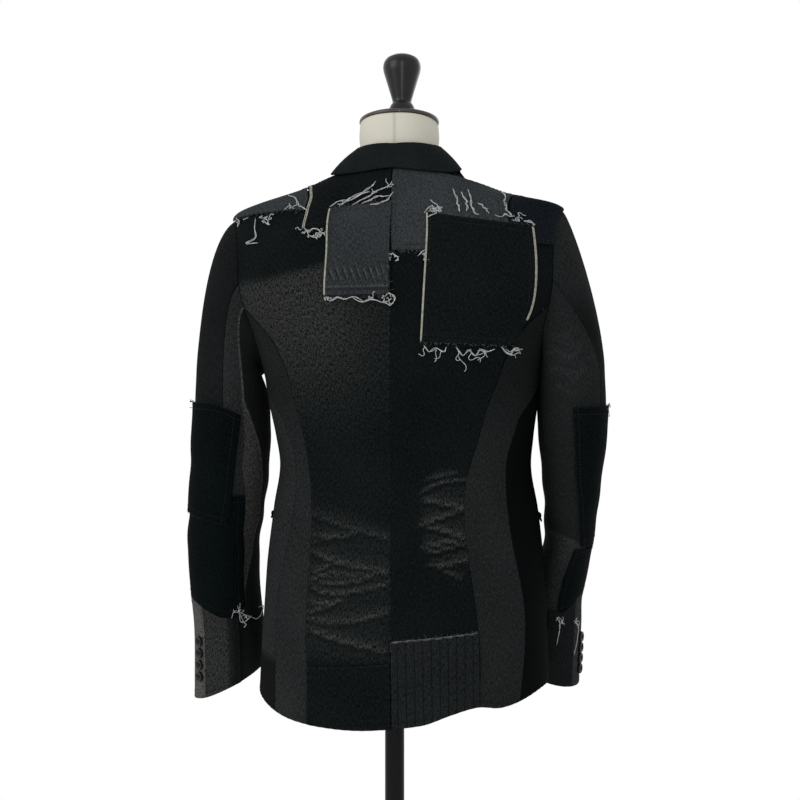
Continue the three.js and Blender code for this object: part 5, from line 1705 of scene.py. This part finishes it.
class JACKET_OT_stand(bpy.types.Operator):
    """Flange, pole and round base, painted black"""
    bl_idname = "jacket.stand"
    bl_label = "Stand"

    def execute(self, context):
        for node, profile, corner in (("pole_flange", FLANGE, 1.0), ("pole", POLE, 0.6),
                                      ("base", BASE, 1.5)):
            piece = lathe(f"painted_{node}", profile, finish_of("stand_paint"), 128,
                          (-FORM_SHIFT, 0.0), corner)
            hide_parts(node)
        return {"FINISHED"}


CAMERA_TURN, CAMERA_DISTANCE, CAMERA_HEIGHT, LENS = math.radians(6), 1.150, 1.150, 39.81


class JACKET_OT_studio(bpy.types.Operator):
    """White room, two soft lights and a narrow one, a round pale floor and the camera"""
    bl_idname = "jacket.studio"
    bl_label = "Studio"

    def execute(self, context):
        scene, studio = context.scene, context.scene.studio
        scene.view_settings.view_transform = "Standard"
        scene.view_settings.look = "None"
        world = bpy.data.worlds.new("white_room")
        world.use_nodes = True
        back = world.node_tree.nodes["Background"]
        back.inputs["Color"].default_value = (1, 1, 1, 1)
        back.inputs["Strength"].default_value = studio.sky
        scene.world = world
        for name, power, wide, high, place in (
                ("key", studio.key, 2.4, 2.4, (2.6, 2.4, 2.3)),
                ("fill", studio.fill, 2.0, 2.0, (-1.6, -2.6, 2.3)),
                ("strip", studio.strip, 0.1, 1.8, (-0.28, 2.4, 1.5))):
            light = bpy.data.lights.new(name, "AREA")
            light.shape, light.energy, light.size, light.size_y = "RECTANGLE", power, wide, high
            lamp = bpy.data.objects.new(name, light)
            lamp.location = place
            aim = np.array([0, 0, 1.15]) - place
            lamp.rotation_euler = (math.atan2(math.hypot(aim[0], aim[1]), -aim[2]), 0,
                                   math.atan2(aim[1], aim[0]) - math.pi / 2)
            scene.collection.objects.link(lamp)
        edge = studio.floor * 1000
        floor = lathe("floor", [(0, -12), (edge, -12), (edge, -0.05), (0, -0.05)],
                      finish_of("pale_floor"), studio.sides, (-FORM_SHIFT, 0.0), 6.0)
        del floor["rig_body"]
        camera = bpy.data.cameras.new("camera")
        camera.lens, camera.sensor_width, camera.clip_end = LENS, 36.0, 50.0
        eye = bpy.data.objects.new("camera", camera)
        eye.location = (-math.sin(CAMERA_TURN) * CAMERA_DISTANCE + FORM_SHIFT / 1000,
                        math.cos(CAMERA_TURN) * CAMERA_DISTANCE, CAMERA_HEIGHT)
        eye.rotation_euler = (math.pi / 2, 0, math.pi + CAMERA_TURN)
        scene.collection.objects.link(eye)
        scene.camera = eye
        return {"FINISHED"}


STEPS = (JACKET_OT_studio, JACKET_OT_form, JACKET_OT_stand, JACKET_OT_back, JACKET_OT_flanks,
         JACKET_OT_fronts, JACKET_OT_back_patches, JACKET_OT_hem_blocks, JACKET_OT_welts,
         JACKET_OT_collar, JACKET_OT_lapels, JACKET_OT_sleeves, JACKET_OT_sleeve_blocks,
         JACKET_OT_buttons)


class JACKET_PT_sidebar(bpy.types.Panel):
    """Lists the pieces of the jacket, its form and the studio"""
    bl_idname = "JACKET_PT_sidebar"
    bl_label = "Patchwork Jacket"
    bl_space_type = "VIEW_3D"
    bl_region_type = "UI"
    bl_category = "Jacket"

    def draw(self, context):
        for group in (context.scene.jacket, context.scene.studio):
            box = self.layout.box()
            for key in group.bl_rna.properties.keys():
                if key not in ("rna_type", "name"):
                    box.prop(group, key)
        for operator in STEPS:
            self.layout.operator(operator.bl_idname)


CLASSES = (JacketSettings, StudioSettings, *STEPS, JACKET_PT_sidebar)


def register():
    """Registers the classes and hangs the settings on the scene."""
    for cls in CLASSES:
        bpy.utils.register_class(cls)
    bpy.types.Scene.jacket = PointerProperty(type=JacketSettings)
    bpy.types.Scene.studio = PointerProperty(type=StudioSettings)


def unregister():
    """Takes the settings and the classes away again."""
    del bpy.types.Scene.studio
    del bpy.types.Scene.jacket
    for cls in reversed(CLASSES):
        bpy.utils.unregister_class(cls)


def main():
    """Makes every piece in order."""
    register()
    for operator in STEPS:
        group, name = operator.bl_idname.split(".")
        getattr(getattr(bpy.ops, group), name)()


if __name__ == "__main__":
    main()
